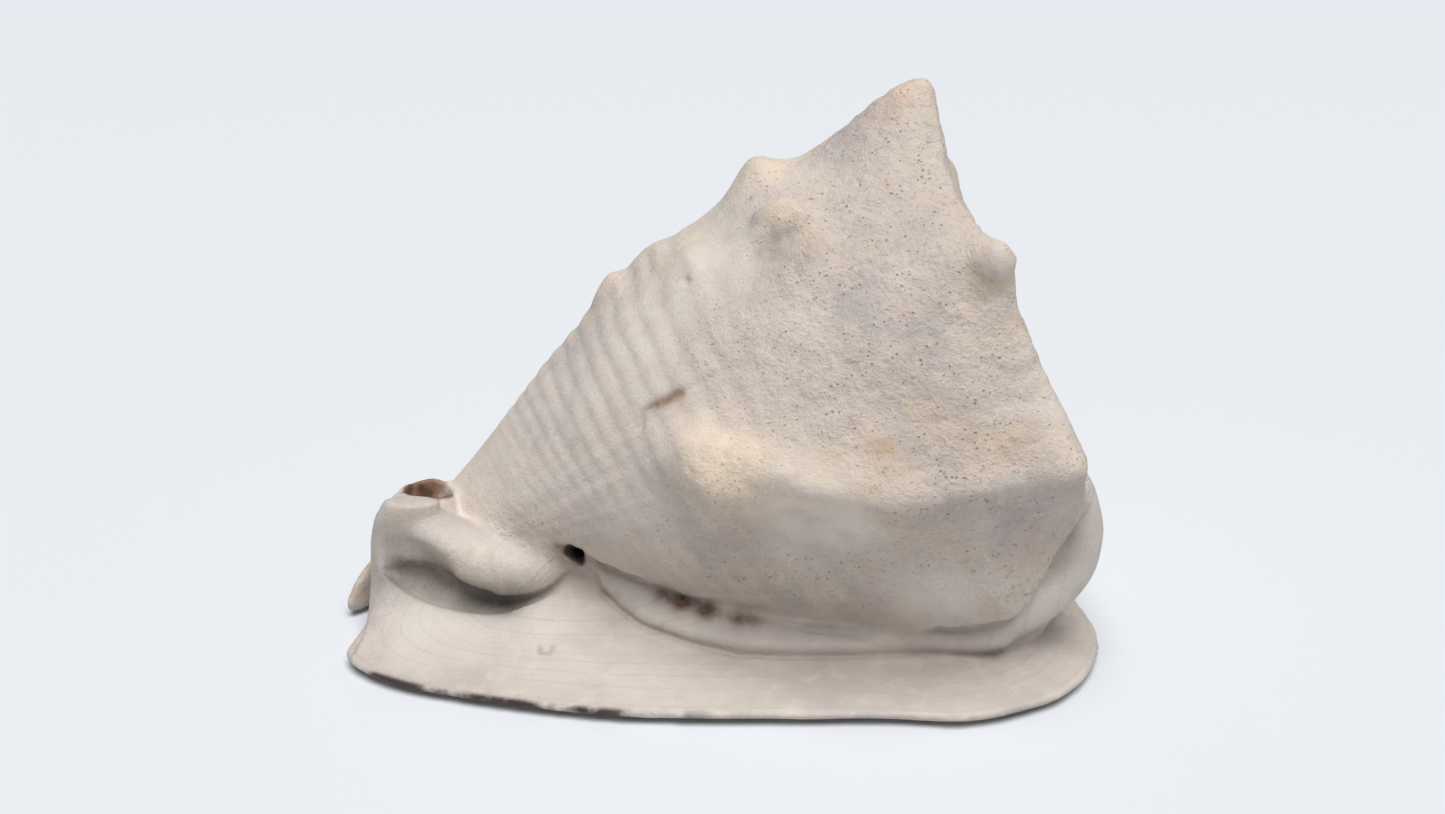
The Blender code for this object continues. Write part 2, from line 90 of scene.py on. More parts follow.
# Where the spire settles onto the shoulder, its tip's radius, and the least radius that the
# reach of knobs and ridges round the turn is measured on.
SPIRE_SETTLES = (0.8, 1.0)
SPIRE_TIP = 1.5
LEAST_RADIUS = 20.0
# How far a knob reaches up the side, as a share of its reach down it.
KNOB_ABOVE = 0.6

# The side of the whorl at the back, from the shoulder to the tip: along the axis, radius.
SIDE = [
    (-6.4, 55), (-7, 59), (-10, 61.6), (-16, 63.2), (-32, 64), (-52, 63.5), (-79, 61),
    (-102, 56.5), (-119, 50.3), (-134, 44), (-149, 36.5), (-166, 27.6), (-181, 19.6),
    (-195, 11), (-202, 0.5),
]
# How much wider or narrower than at the back the whorl is at each turn, in degrees from
# the back: the near side is negative, the far side positive. The shoulder also leans
# towards the apex by the last value.
WAIST = [
    (-165, 1.08), (-150, 1.09), (-141, 1.09), (-130, 1.05), (-117, 1), (-105, 0.975),
    (-92, 0.965), (-75, 0.96), (-55, 0.95), (-35, 0.955), (-15, 0.975), (5, 1), (30, 1.01),
    (60, 1.03), (85, 1.06), (98, 1.12), (108, 1.21), (116, 1.33), (124, 1.46), (130, 1.49),
    (140, 1.36), (155, 1.12), (180, 1.02),
]
SHOULDER = [
    (-160, 1, 0), (-138, 1.05, 1), (-130, 0.98, 1.5), (-118, 0.92, 2), (-95, 0.92, 2.5),
    (-75, 0.91, 3), (-50, 0.88, 3), (-25, 0.92, 0.5), (0, 1, 1), (30, 1, 1.5), (60, 1.03, 2),
    (95, 1.10, 2), (115, 1.14, 1), (135, 1.12, 0), (160, 0.98, 0), (180, 0.93, 0),
]
# Knobs: place down the side from the shoulder, turn (degrees), rise, lean towards the
# apex, reach down the side, reach round the turn, and how pointed it is.
KNOBS = [
    (6, 4, 14, 8, 22, 15, 1.15),
    (5, -52, 10, 3, 10, 8, 1.2),
    (7, -107, 10, 3, 15, 14, 1.4),
    (42, -148, 17, 0, 32, 32, 2),
    (7, 52, 12, 4, 16, 15, 1.3),
    (7, 101, 12, 4, 16, 16, 1.3),
    (52, 7, 8, 0, 11, 14, 1.7),
    (50, -21, 6.5, 0, 12, 11, 1.5),
    (53, -95, 6.5, 0, 15, 14, 1.7),
    (52, 47, 6, 0, 12, 12, 1.7),
    (52, 84, 7, 0, 14, 14, 1.7),
    (79, -13, 3.5, 0, 8, 8, 1.8),
    (90, 12, 2.5, 0, 8, 8, 1.8),
    (106, 10, 4, 0, 8, 12, 1.8),
    (104, -74, 4, 0, 14, 13, 1.8),
    (100, 50, 3, 0, 10, 12, 1.8),
    (102, 80, 3.5, 0, 10, 12, 1.8),
]
# Where the newest growth ends in a ledge over the old lip band: place down the side, turn.
LEDGE = [
    (0, -132), (12, -133), (22, -135), (34, -136), (48, -135.5), (62, -136.5), (78, -139),
    (98, -137), (118, -132), (132, -128), (141, -124), (151, -116.5), (157, -109), (163, -94),
]
LEDGE_BEGINS = (-10.0, 5.0)
LEDGE_ENDS = (162.0, 168.0)
LEDGE_DEPTH = 6.5
LEDGE_TURNS = (2.5, 40.0, 60.0)
# Low ridges that run down the side through the knobs: turn at the shoulder, how far the
# turn shifts for each mm down the side, rise, reach round the turn.
RIDGES = [(-113, 0.36, 6, 14), (3, 0.07, 2, 15)]
RIDGE_ENDS = (0.0, 14.0, 95.0, 125.0)

# The shield and lip seen from above: turn about the middle, distance.
PLATE_OUTLINE = [
    (-94.5, 77), (-75, 79.6), (-58, 90.6), (-47.8, 104.4), (-41.8, 110), (-35, 115.8),
    (-28, 118.2), (-20, 118), (-14, 115), (-6, 109), (14, 104), (30, 100), (50, 92), (70, 86),
    (90, 84), (110, 82), (128, 82), (145, 86), (160, 94), (172, 101), (184, 104), (194, 106),
    (198, 111), (202, 118), (207, 116.5), (213.5, 109.5), (221, 100.2), (228.5, 92.7),
    (237, 86.5), (246, 81.9),
]

# The plate's rings crowd towards its rim by this power.
RINGS_CROWD = 0.75
# Heights of the plate: its rim, how it rises inwards as (rise, begins, ends), low mounds on
# it as (x, y, rise, reach along x, reach along y), and its step to the lip side.
RIM_HIGH = 4.9
RIM_LOW = 2.1
RIM_ROUND = 3.0
PLATE_RISES = [(1.6, 0, 30), (3, 26, 60)]
PLATE_MOUNDS = [(-45, -6, 9, 28, 22), (-93, -25, 12, 17, 12)]
LIP_SIDE_RISE = 4.0
LIP_SIDE = (-20.0, 10.0)
# The lower face: the ring it stands on, the hollow inside it, the rise at the aperture.
RING_DROP = 2.6
RING_BEGINS = (1.0, 13.0)
HOLLOW_RISE = 2.4
HOLLOW = (19.0, 44.0)
APERTURE_RISE = 2.4
APERTURE_REACH = 14.0
GROUND_MARGIN = 14.0
GROUND_GAP = 0.3
GROUND_FLOOR = -20.0
# How much of a bar's length each round end takes, how far to each side its heading is read,
# and which way the half height of most bars lies.
ROUND_END = 0.09
BEND_STEP = 0.02
UPRIGHT = (0.0, 0.15, 1.0)

# Bars through rows (x, y, z, half width, half height).
BAND = [
    (-39, -10, 11, 4, 5), (-32, -20, 8, 8, 7.5), (-20, -27, 6, 11.5, 10),
    (5, -36, 4, 13, 10.5), (36, -39, 2.5, 13, 10.5), (62, -39, 2, 12.5, 10),
    (79, -38.5, 6, 10.5, 9.5), (91, -36.5, 20, 9, 8.5), (100, -36, 34, 9, 8.5),
    (100, -37, 48, 6.5, 6), (96, -40, 60, 3, 3),
]
# The old lip band's roll, where it shows under the newest growth and turns up at its end.
BAND_ROLL = [
    (95, -38, 64, 2.5, 2.5), (100, -38.5, 52, 5, 5), (101.5, -39, 42, 6, 6),
    (100.5, -40, 32, 6.5, 6.5), (96.5, -42, 26, 6.5, 6.5), (90, -45, 21.5, 6.5, 6.5),
    (83, -47, 18.3, 6.5, 6.3), (74, -47.3, 14, 6.6, 6.5), (62, -45.3, 10.8, 6.5, 6.5),
    (45, -42, 7.5, 6.5, 6.5), (30, -39.5, 6.5, 6.5, 6.5), (14, -37, 7, 6.5, 6.5),
    (0, -34, 8.5, 6.5, 6.5), (-12, -31, 11, 6.5, 6.5), (-22, -27.5, 13.5, 6, 6),
    (-31, -24, 17.5, 5, 5.5), (-38, -23.5, 22, 3, 3.5),
]
LIP = [
    (-112, -16, 3, 2.4, 2.6), (-108, -9, 4, 4, 4), (-100, 4, 6, 6.5, 6),
    (-88, 24, 6.5, 7, 6.5), (-60, 50, 6, 9, 6.5), (-25, 68, 6, 10, 6.5), (20, 74, 6, 11, 7),
    (58, 66, 7, 10, 8), (84, 44, 8, 8, 8), (98, 18, 7, 7, 7), (102, -4, 6, 6, 6),
]
SPOUT = [
    (-66, 0, 2, 14, 14), (-82, -3, 7, 13, 13), (-90, -6, 14, 12.5, 12), (-92, -6, 21, 12, 12),
    (-91.5, -6, 28, 12, 12),
]
SPOUT_FOOT = [
    (-95, -22, 6, 8, 8), (-90, -19, 12, 12, 11), (-82, -18, 14, 13, 11), (-72, -15, 11, 12, 9),
]
FASCIOLE = [
    (-94, -12, 26, 9, 11), (-87, -17, 23.5, 11, 12), (-74, -20, 19.5, 11, 11),
    (-60, -20, 17.5, 10, 9.5), (-50, -17, 17.5, 8, 8), (-44, -11, 18, 5, 5),
]
PILLAR = [
    (-98, -40, 2, 7, 4), (-96, -30, 9, 9, 6), (-94.5, -22, 17, 10.6, 7),
    (-94.2, -17, 26, 11.2, 6), (-92.8, -17.5, 33.5, 10.2, 5), (-92, -17.5, 37.2, 8.8, 4),
]
LIP_END = [(-105, -3, 4, 4, 4), (-102, 1, 8, 4.5, 5), (-98, 4, 15, 5, 7), (-95, 4, 24, 5, 7)]
# The callus that closes the shell behind the aperture, between whorl and plate.
REAR_WALL = [
    (88, -36, 16, 9, 12), (91, -26, 20, 13, 23), (91, -6, 24, 16, 30), (87, 18, 24, 18, 30),
    (79, 40, 17, 15, 23), (70, 54, 11, 10, 14),
]
# The aperture, the chamber over it and the canal, cut from below.
APERTURE = [
    (74, 20, 1, 4, 14), (52, 29, 1, 6.5, 18), (20, 33, 1, 6.8, 20), (-15, 30, 1, 6.5, 20),
    (-50, 18, 1, 6, 16), (-78, 1, 1, 5.5, 13), (-92, -10, 1, 4.5, 12), (-106, -24, 0, 3.5, 7),
    (-122, -38, 0, 3.5, 5),
]
CHAMBER = [
    (56, 22, 52, 20, 18), (38, 30, 44, 26, 26), (5, 33, 37, 26, 26), (-30, 26, 27, 21, 18),
    (-58, 14, 16, 12, 10), (-78, 2, 9, 7, 7),
]
CANAL = [
    (-74, 3, 4, 5, 5), (-84, -4, 9, 6, 6), (-90, -6, 17, 6.5, 6), (-90, -4, 30, 7, 6.5),
    (-89, -3, 56, 8, 8),
]
NOTCH = [
    (-110, -34, -4, 6, 3), (-108, -25, 8, 6, 3), (-105, -15, 18, 6, 2.8),
    (-103, -7, 29, 6, 2.8), (-101, -3, 40, 6, 3), (-101, -2, 56, 6, 3),
]
CHINK = [(-43, -21, 25, 2.2, 2.2), (-42.8, -18, 23, 2.4, 2.4), (-42.5, -8, 18, 2.5, 2.5)]
# The chink's three-sided mouth, corner by corner: in front of the skin, then behind it.
CHINK_MOUTH = [
    (-49, -34, 30), (-45, -34, 33.4), (-39.4, -34, 30.6), (-39.8, -34, 23), (-46.6, -19, 25),
    (-44.4, -19, 27), (-41, -19, 25.6), (-41.2, -19, 19.6),
]
# The hollow under the canal's roll, and the crease it narrows to; the roll's wall is scooped
# out above it.
UNDER_ROLL = [
    (-99, -26.5, 21, 2.5, 2), (-92, -27, 19.2, 5.5, 4.6), (-81, -27.4, 14.6, 6.5, 5.2),
    (-71, -28, 11.6, 5.5, 4.2), (-62, -28.4, 11.2, 3.4, 2.8), (-53, -26.5, 13.4, 1.9, 1.8),
    (-45, -23, 18, 1.5, 1.4),
]
SCOOP = [
    (-107, -25.5, 27, 4, 5), (-97, -26.4, 27, 4.4, 6), (-89, -27.6, 25, 4.2, 5.5),
    (-82, -30, 23, 3.4, 4),
]
# The box above the canal's mouth, which ends level.
CANAL_TOP = [(x, y, z) for x in (-125, -82.5) for y in (-32, 1) for z in (39.6, 60)]
# The canal's far wall stands above its near rim, and the lip's thin end below it.
FAR_WALL = [
    (-98, -3, 25.5, 1.8, 5), (-95.5, 1.5, 29, 1.8, 5), (-91, 4, 31.5, 1.8, 5),
    (-86, 3.4, 30.4, 1.8, 5), (-82.5, 1, 27, 1.8, 4),
]
LIP_FIN = [
    (-113, -17.5, 3, 1.6, 3), (-110.5, -14, 6.5, 1.7, 4.5), (-107, -9, 10, 1.8, 5.5),
    (-103.5, -3, 12, 1.8, 6), (-99, 2, 16, 1.8, 7),
]
# The groove under the newest growth's edge, over the old lip band.
CREASE = [
    (-42, -28.5, 26.5, 1.2, 1.2), (-35.6, -29.8, 23.6, 1.3, 1.2), (-24, -31.8, 19.6, 1.5, 1.3),
    (-11, -34.6, 16.6, 1.6, 1.3), (5.3, -39.6, 13.4, 1.6, 1.3), (19.6, -43.6, 12.2, 1.6, 1.3),
    (36.4, -46.4, 12.2, 1.6, 1.3), (50, -49.5, 14.2, 1.6, 1.3), (61.5, -52.4, 16.6, 1.6, 1.3),
    (74.2, -55.6, 19.6, 1.6, 1.3), (82.5, -55, 22.4, 1.4, 1.2), (88, -53.5, 24.4, 0.8, 0.8),
]
# Teeth along the lip and folds along the shield, each across the aperture's edge: the
# first and last place along the shell, how many, where they start and end from the
# aperture's middle line, half width.
TEETH = (56.0, -62.0, 12, 5.0, 20.0, 2.1)
FOLDS = (24.0, -74.0, 13, -4.6, -22.0, 1.4)
# Each tooth or fold at three places: how far along it, height, share of its half width, and
# half height.
RIDGE_ROWS = [(0, 5.2, 1, 3), (0.5, 3.6, 1, 2.4), (1, 2.2, 0.6, 1.2)]


def smooth_table(points, x):
    """Reads a table of rows (place, value, ...) at x, on a smooth curve."""
    table = np.array(points, dtype=float)
    knots, values = table[:, 0], table[:, 1:]
    slopes = np.gradient(values, knots, axis=0)
    i = np.clip(np.searchsorted(knots, x) - 1, 0, len(knots) - 2)
    step = (knots[i + 1] - knots[i])[:, None]
    f = np.clip((x - knots[i])[:, None] / step, 0.0, 1.0)
    start = values[i] * (1 + 2 * f) * (1 - f) ** 2 + slopes[i] * step * f * (1 - f) ** 2
    end = values[i + 1] * f * f * (3 - 2 * f) + slopes[i + 1] * step * f * f * (f - 1)
    return (start + end).squeeze(-1) if values.shape[1] == 1 else start + end


def round_table(points, turn):
    """Reads a table that closes on itself after a full turn."""
    before = [(p[0] - 360.0, *p[1:]) for p in points]
    after = [(p[0] + 360.0, *p[1:]) for p in points]
    return smooth_table(before + list(points) + after, turn)


def ease(x, low, high):
    f = np.clip((x - low) / (high - low), 0.0, 1.0)
    return f * f * (3.0 - 2.0 * f)


def fade(x, low, high):
    return 1.0 - ease(x, low, high)


def bump(x, height, place, width):
    return height * np.exp(-(((x - place) / width) ** 2))


def side_table():
    """The side with its length from the shoulder in front of each row."""
    points = np.array(SIDE)
    steps = np.linalg.norm(np.diff(points, axis=0), axis=1)
    length = np.concatenate([[0.0], np.cumsum(steps)])
    return np.column_stack([length, points])


def length_factor(turn):
    """The whorl grows about the apex, from the near side round the back to the lip."""
    wrapped = np.where(turn < FIRST_TURN, turn + 360.0, turn)
    spiral = WHORL_RATIO ** (np.minimum(wrapped, LAST_TURN) / 360.0)
    start = WHORL_RATIO ** (FIRST_TURN / 360.0)
    return spiral + (start - spiral) * ease(wrapped, LAST_TURN, CLOSED_TURN)


def spire_drop(reach, turn):
    """Depth of the spire's surface below the apex: earlier whorls step up to it."""
    wrapped = np.where(turn < FIRST_TURN, turn + 360.0, turn)
    spiral = WHORL_RATIO ** (wrapped / 360.0)
    whorls = np.log(SHOULDER_RADIUS * spiral / np.maximum(reach, SPIRE_TIP))
    phase = np.maximum(whorls / np.log(WHORL_RATIO) + WHORL_SHIFT, 0.0)
    whole = np.floor(phase)
    part = phase - whole
    fall = SPIRE_HEIGHT * spiral * WHORL_RATIO ** -whole
    step_up = (1.0 - 1.0 / WHORL_RATIO) * ease(part, *WHORL_STEP)
    beads = bump(part, *BEADS) * np.cos(np.radians(BEADS_PER_TURN * turn))
    return fall * (1.0 - step_up + bump(part, *SUTURE) - beads)


def down_the_side(t):
    """The place down the side for each t; on the spire it is the way back from the edge."""
    ramp = np.clip(t / SPIRE_SHARE, 0.0, 1.0)
    down = np.clip((t - SPIRE_SHARE) / (1.0 - SPIRE_SHARE), 0.0, 1.0) * side_table()[-1, 0]
    return np.where(t < SPIRE_SHARE, (ramp - 1.0) * SIDE[0][1], down)


def whorl_place(t, turn):
    """The outer whorl: t runs from the apex over the shoulder to the tip."""
    side = side_table()
    ramp = np.clip(t / SPIRE_SHARE, 0.0, 1.0)
    on_spire = t < SPIRE_SHARE
    q = down_the_side(t)
    on_side = smooth_table(side, np.maximum(q, 0.0))
    radius = np.where(on_spire, ramp * SIDE[0][1], on_side[:, 1])
    grow = length_factor(turn)
    shoulder = round_table(SHOULDER, turn)
    to_waist = ease(q, *WAIST_BEGINS)
    width = shoulder[:, 0] + (round_table(WAIST, turn) - shoulder[:, 0]) * to_waist
    reach = radius * width
    on_ramp = -spire_drop(reach, turn)
    settle = ease(ramp, *SPIRE_SETTLES)
    on_ramp += settle * (SIDE[0][0] * grow - on_ramp)
    along = np.where(on_spire, on_ramp, on_side[:, 0] * grow)
    out = np.zeros_like(q)
    back = shoulder[:, 1] * (1.0 - to_waist)
    wheel = np.maximum(reach, LEAST_RADIUS)
    for place, at, rise, lean, down_reach, round_reach, point in KNOBS:
        turned = (turn - at + 180.0) % 360.0 - 180.0
        across = np.radians(turned) * wheel / round_reach
        down_side = (q - place) / np.where(q < place, KNOB_ABOVE * down_reach, down_reach)
        knob = np.exp(-((down_side**2 + across**2) ** (point / 2.0)))
        out += rise * knob
        back += lean * knob
    for at, shift, rise, round_reach in RIDGES:
        across = np.radians(turn - at - shift * q) * wheel / round_reach
        ends = ease(q, *RIDGE_ENDS[:2]) * fade(q, *RIDGE_ENDS[2:])
        out += rise * ends * np.exp(-(across**2))
    reach = reach + out * ease(q, *EDGE_FADE)
    under = (smooth_table(LEDGE, q) - turn) % 360.0
    ledge = ease(under, 0.0, LEDGE_TURNS[0]) * fade(under, *LEDGE_TURNS[1:])
    reach -= LEDGE_DEPTH * ledge * ease(q, *LEDGE_BEGINS) * fade(q, *LEDGE_ENDS)
    along = along + back * ease(q, *EDGE_FADE)
    turned = np.radians(turn)[:, None]
    spoke = np.cos(turned) * BACK + np.sin(turned) * FAR
    return APEX + along[:, None] * ALONG + reach[:, None] * spoke


def aperture_line(x):
    """The aperture's middle line seen from above."""
    points = sorted((row[0], row[1]) for row in APERTURE)
    return smooth_table(points, x)


def underside(x, y, inward):
    """The lower face: it stands on a ring inside the rim and rises towards the aperture."""
    low = RIM_LOW - RING_DROP * ease(inward, *RING_BEGINS) + HOLLOW_RISE * ease(inward, *HOLLOW)
    beside = bump(y, APERTURE_RISE, aperture_line(x), APERTURE_REACH)
    return low + beside * ease(inward, *RING_BEGINS)


def ground_place(t, turn):
    """What lies below the lower face, out to past the rim."""
    turned = np.radians(turn)
    edge = round_table(PLATE_OUTLINE, turn)
    top = t < 0.5
    share = np.where(top, t, 1.0 - t) / 0.5
    far = (edge + GROUND_MARGIN) * share
    x = far * np.cos(turned)
    y = far * np.sin(turned)
    low = underside(x, y, np.maximum(edge - far, 0.0)) - GROUND_GAP
    z = np.where(top & (share < 0.999), low, GROUND_FLOOR)
    return np.column_stack([x, y, z])


def plate_place(t, turn):
    """Shield and lip flange: t runs from the middle of the top over the rim to below."""
    turned = np.radians(turn)
    edge = round_table(PLATE_OUTLINE, turn)
    top = t < 0.5
    share = np.where(top, t, 1.0 - t) / 0.5
    share = share**RINGS_CROWD
    round_part = RIM_ROUND / edge
    rim = np.clip((share - 1.0) / round_part + 1.0, 0.0, 1.0)
    inward = edge * (1.0 - share)
    x = edge * share * np.cos(turned)
    y = edge * share * np.sin(turned)
    high = RIM_HIGH + sum(rise * ease(inward, *ends) for rise, *ends in PLATE_RISES)
    for middle_x, middle_y, rise, reach_x, reach_y in PLATE_MOUNDS:
        high += bump(x, rise, middle_x, reach_x) * bump(y, 1.0, middle_y, reach_y)
    high += LIP_SIDE_RISE * ease(y, *LIP_SIDE)
    low = underside(x, y, inward)
    middle = 0.5 * (high + low)
    half = 0.5 * (high - low) * np.sqrt(1.0 - rim**2)
    z = np.where(top, middle + half, middle - half)
    return np.column_stack([x, y, z])


def tube_place(path, up):
    """A bent bar through rows (x, y, z, half width, half height), with round ends.

    The half height lies towards up, which no part of the bar may run along.
    """
    rows = np.array(path, dtype=float)
    steps = np.linalg.norm(np.diff(rows[:, :3], axis=0), axis=1)
    length = np.concatenate([[0.0], np.cumsum(steps)])
    table = np.column_stack([length, rows])
    nearby = BEND_STEP * length[-1]

    def place(t, turn):
        p = np.clip((t - ROUND_END) / (1.0 - 2.0 * ROUND_END), 0.0, 1.0) * length[-1]
        at = smooth_table(table, p)
        before = smooth_table(table, np.maximum(p - nearby, 0.0))[:, :3]
        after = smooth_table(table, np.minimum(p + nearby, length[-1]))[:, :3]
        heading = after - before
        heading /= np.linalg.norm(heading, axis=1)[:, None]
        side = np.cross(heading, np.array(up))
        side /= np.linalg.norm(side, axis=1)[:, None]
        lift = np.cross(side, heading)
        end = np.clip(1.0 - np.minimum(t, 1.0 - t) / ROUND_END, 0.0, 1.0)
        size = np.sqrt(1.0 - end**2)[:, None]
        turned = np.radians(turn)[:, None]
        round_it = np.cos(turned) * side * at[:, 3:4] + np.sin(turned) * lift * at[:, 4:5]
        sign = np.where(t < 0.5, -1.0, 1.0)[:, None]
        push = heading * sign * end[:, None] * at[:, 3:4]
        return at[:, :3] + push + round_it * size

    return place


def show(name, data):
    """An object in the scene that holds a mesh, a light or a camera."""
    made = bpy.data.objects.new(name, data)
    bpy.context.scene.collection.objects.link(made)
    return made


def keep(name, skin):
    """Puts what was made in bmesh into the scene as an object."""
    mesh = bpy.data.meshes.new(name)
    skin.to_mesh(mesh)
    skin.free()
    return show(name, mesh)


def ball(segments, rings):
    """A ball, with t from pole to pole and the turn at each of its vertices."""
    skin = bmesh.new()
    bmesh.ops.create_uvsphere(skin, u_segments=segments, v_segments=rings, radius=1.0)
    x, y, z = np.array([vert.co for vert in skin.verts]).T
    return skin, np.arccos(np.clip(z, -1.0, 1.0)) / np.pi, np.degrees(np.arctan2(y, x))


def form(place, segments, rings):
    """A closed skin: the vertices of a ball moved to where place() puts them."""
    skin, t, turn = ball(segments, rings)
    for vert, point in zip(skin.verts, place(t, turn) * MM):
        vert.co = point
    bmesh.ops.recalc_face_normals(skin, faces=skin.faces)
    return keep("form", skin)


def bar(path, segments, rings, up=UPRIGHT):
    """A closed bent bar through the rows of its path."""
    return form(tube_place(path, up), segments, rings)


def wedge(corners):
    """The flat-sided form around a few corners."""
    skin = bmesh.new()
    for corner in corners:
        skin.verts.new(np.array(corner) * MM)
    bmesh.ops.convex_hull(skin, input=skin.verts)
    bmesh.ops.recalc_face_normals(skin, faces=skin.faces)
    return keep("wedge", skin)


def join(name, parts):
    """One object with the meshes of all the parts."""
    joined = bmesh.new()
    for one in parts:
        joined.from_mesh(one.data)
        bpy.data.objects.remove(one)
    return keep(name, joined)


def apply_modifiers(thing):
    """Keeps what the modifiers make of the object as its own mesh."""
    bpy.context.view_layer.update()
    seen = thing.evaluated_get(bpy.context.evaluated_depsgraph_get())
    mesh = bpy.data.meshes.new_from_object(seen)
    thing.modifiers.clear()
    thing.data = mesh


def gather(thing, grid, smoothing):
    """One skin around everything in the object, with its seams softened."""
    remesh = thing.modifiers.new("gather", "REMESH")
    remesh.mode = "VOXEL"
    remesh.voxel_size = grid * MM
    soften = thing.modifiers.new("soften", "SMOOTH")
    soften.factor = 0.5
    soften.iterations = smoothing
    apply_modifiers(thing)


def cut(thing, cutter):
    """Takes the cutter out of the object."""
    taking = thing.modifiers.new("cut", "BOOLEAN")
    taking.operation = "DIFFERENCE"
    taking.solver = "EXACT"
    taking.object = cutter
    apply_modifiers(thing)
    bpy.data.objects.remove(cutter)


def cross_ridges(first, last, count, near_end, far_end, half_width):
    """Ridges across one edge of the aperture."""
    ridges = []
    for x in np.linspace(first, last, count):
        y = aperture_line(np.array([x]))[0]
        rows = [
            (x, y + near_end + along * (far_end - near_end), high, wide * half_width, half_high)
            for along, high, wide, half_high in RIDGE_ROWS]
        ridges.append(bar(rows, 12, 12))
    return ridges


# The low relief of the skin. The cords round the whorl: how far apart they are at each place
# down the side.
CORD_SPACING = [
    (-60, 9), (0, 9), (60, 8.6), (100, 8), (125, 7), (145, 5.6), (165, 4.2), (185, 3.2),
    (230, 3),
]
# Where one groove lies, a groove's half width as a share of the spacing, and at how many
# places the spacing is added up.
CORD_START = 82.0
CORD_GROOVE = 0.24
CORD_STEPS = 581
# The cords' height, the level between groove and crest that stays in place, how the height
# sways, as (least, more, lump size, seed), and how they bend, as (mm, lump size, seed).
CORD_HEIGHT = 0.21
CORD_LEVEL = 0.4
CORD_SWAY = (0.75, 0.35, 22.0, 2)
CORD_BEND = (1.6, 16.0, 3)


def chance(cells, seed):
    """A steady number from 0 to 1 for each cell of a lattice."""
    n = cells @ np.array([73856093, 19349663, 83492791]) + seed * 6542989
    n = (n % 2**31 ^ (n % 2**31 >> 13)) * 1274126177 % 2**31
    n = (n ^ (n >> 16)) * 1103515245 % 2**31
    return (n >> 7) % 65536 / 65535.0


def cloud(points, size, seed):
    """Soft noise from -1 to 1 whose lumps are about size across."""
    at = points / size
    cell = np.floor(at).astype(np.int64)
    f = at - cell
    f = f * f * (3.0 - 2.0 * f)
    total = np.zeros(len(points))
    for corner in np.ndindex(2, 2, 2):
        weight = np.prod(np.where(corner, f, 1.0 - f), axis=1)
        total += weight * chance(cell + np.array(corner), seed)
    return 2.0 * total - 1.0


# How much of a pock's radius its sloping wall takes.
POCK_WALL = 0.8


def pocks(points, spacing, radius, share, seed):
    """1 in the middle of each pock and 0 outside it; a share of the cells hold one."""
    at = points / spacing
    cell = np.floor(at).astype(np.int64)
    deep = np.zeros(len(points))
    for step in np.ndindex(3, 3, 3):
        near = cell + np.array(step) - 1
        middle = near + np.stack([chance(near, seed + i) for i in range(3)], axis=1)
        here = chance(near, seed + 3) < share
        size = radius * (0.5 + chance(near, seed + 4))
        away = np.linalg.norm(at - middle, axis=1) * spacing / size
        deep = np.maximum(deep, np.where(here, ease(1.0 - away, 0.0, POCK_WALL), 0.0))
    return deep


def cord_wave(q):
    """-1 in each groove between two cords, 1 on each cord."""
    places = np.linspace(CORD_SPACING[0][0], CORD_SPACING[-1][0], CORD_STEPS)
    steps = np.gradient(places) / smooth_table(CORD_SPACING, places)
    phase = np.cumsum(steps)
    phase -= np.interp(CORD_START, places, phase)
    at = np.interp(q, places, phase) % 1.0
    return 1.0 - bump(np.minimum(at, 1.0 - at), 2.0, 0.0, CORD_GROOVE)


class Sheet:
    """A form's own skin, to find how far a point is from it and where on it that is."""

    def __init__(self, place, segments, rings):
        skin, self.t, self.turn = ball(segments, rings)
        bmesh.ops.triangulate(skin, faces=skin.faces)
        self.faces = np.array([[vert.index for vert in face.verts] for face in skin.faces])
        skin.free()
        self.points = place(self.t, self.turn)
        self.tree = BVHTree.FromPolygons(self.points.tolist(), self.faces.tolist())

    def find(self, points):
        """For each point: distance, t and turn of the nearest place on the sheet."""
        found = [self.tree.find_nearest(point) for point in points.tolist()]
        near = np.array([hit[0] for hit in found])
        corners = self.faces[[hit[2] for hit in found]]
        distance = np.array([hit[3] for hit in found])
        a, b, c = (self.points[corners[:, i]] for i in range(3))
        ab, ac, ap = b - a, c - a, near - a
        normal = np.cross(ab, ac)
        area = np.maximum((normal**2).sum(axis=1), 1e-12)
        v = (np.cross(ap, ac) * normal).sum(axis=1) / area
        w = (np.cross(ab, ap) * normal).sum(axis=1) / area
        share = np.stack([1.0 - v - w, v, w], axis=1)
        t = (self.t[corners] * share).sum(axis=1)
        turn = self.turn[corners]
        turn = turn + 360.0 * (turn < turn.max(axis=1)[:, None] - 180.0)
        turn = (turn * share).sum(axis=1)
        return distance, t, (turn + 180.0) % 360.0 - 180.0


def at_corners(mesh, key):
    """Three numbers at each corner of the mesh: its place in metres or its normal."""
    values = np.empty(3 * len(mesh.vertices), np.float32)
    mesh.vertices.foreach_get(key, values)
    return values.reshape(-1, 3).astype(float)


def spot(points, x, y, z, reach):
    """1 at a place on the skin, fading out over its reach."""
    return bump(np.linalg.norm(points - np.array([x, y, z]), axis=1), 1.0, 0.0, reach)


def near_line(points, line):
    """How far each point is from a line through places."""
    line = np.array(line, dtype=float)
    best = np.full(len(points), 1e9)
    for a, b in zip(line[:-1], line[1:]):
        f = np.clip((points - a) @ (b - a) / ((b - a) @ (b - a)), 0.0, 1.0)
        best = np.minimum(best, np.linalg.norm(points - a - f[:, None] * (b - a), axis=1))
    return best


def beside_line(points, line, height, width):
    """A height on a line through places, fading out to each side over the width."""
    return bump(near_line(points, line), height, 0.0, width)


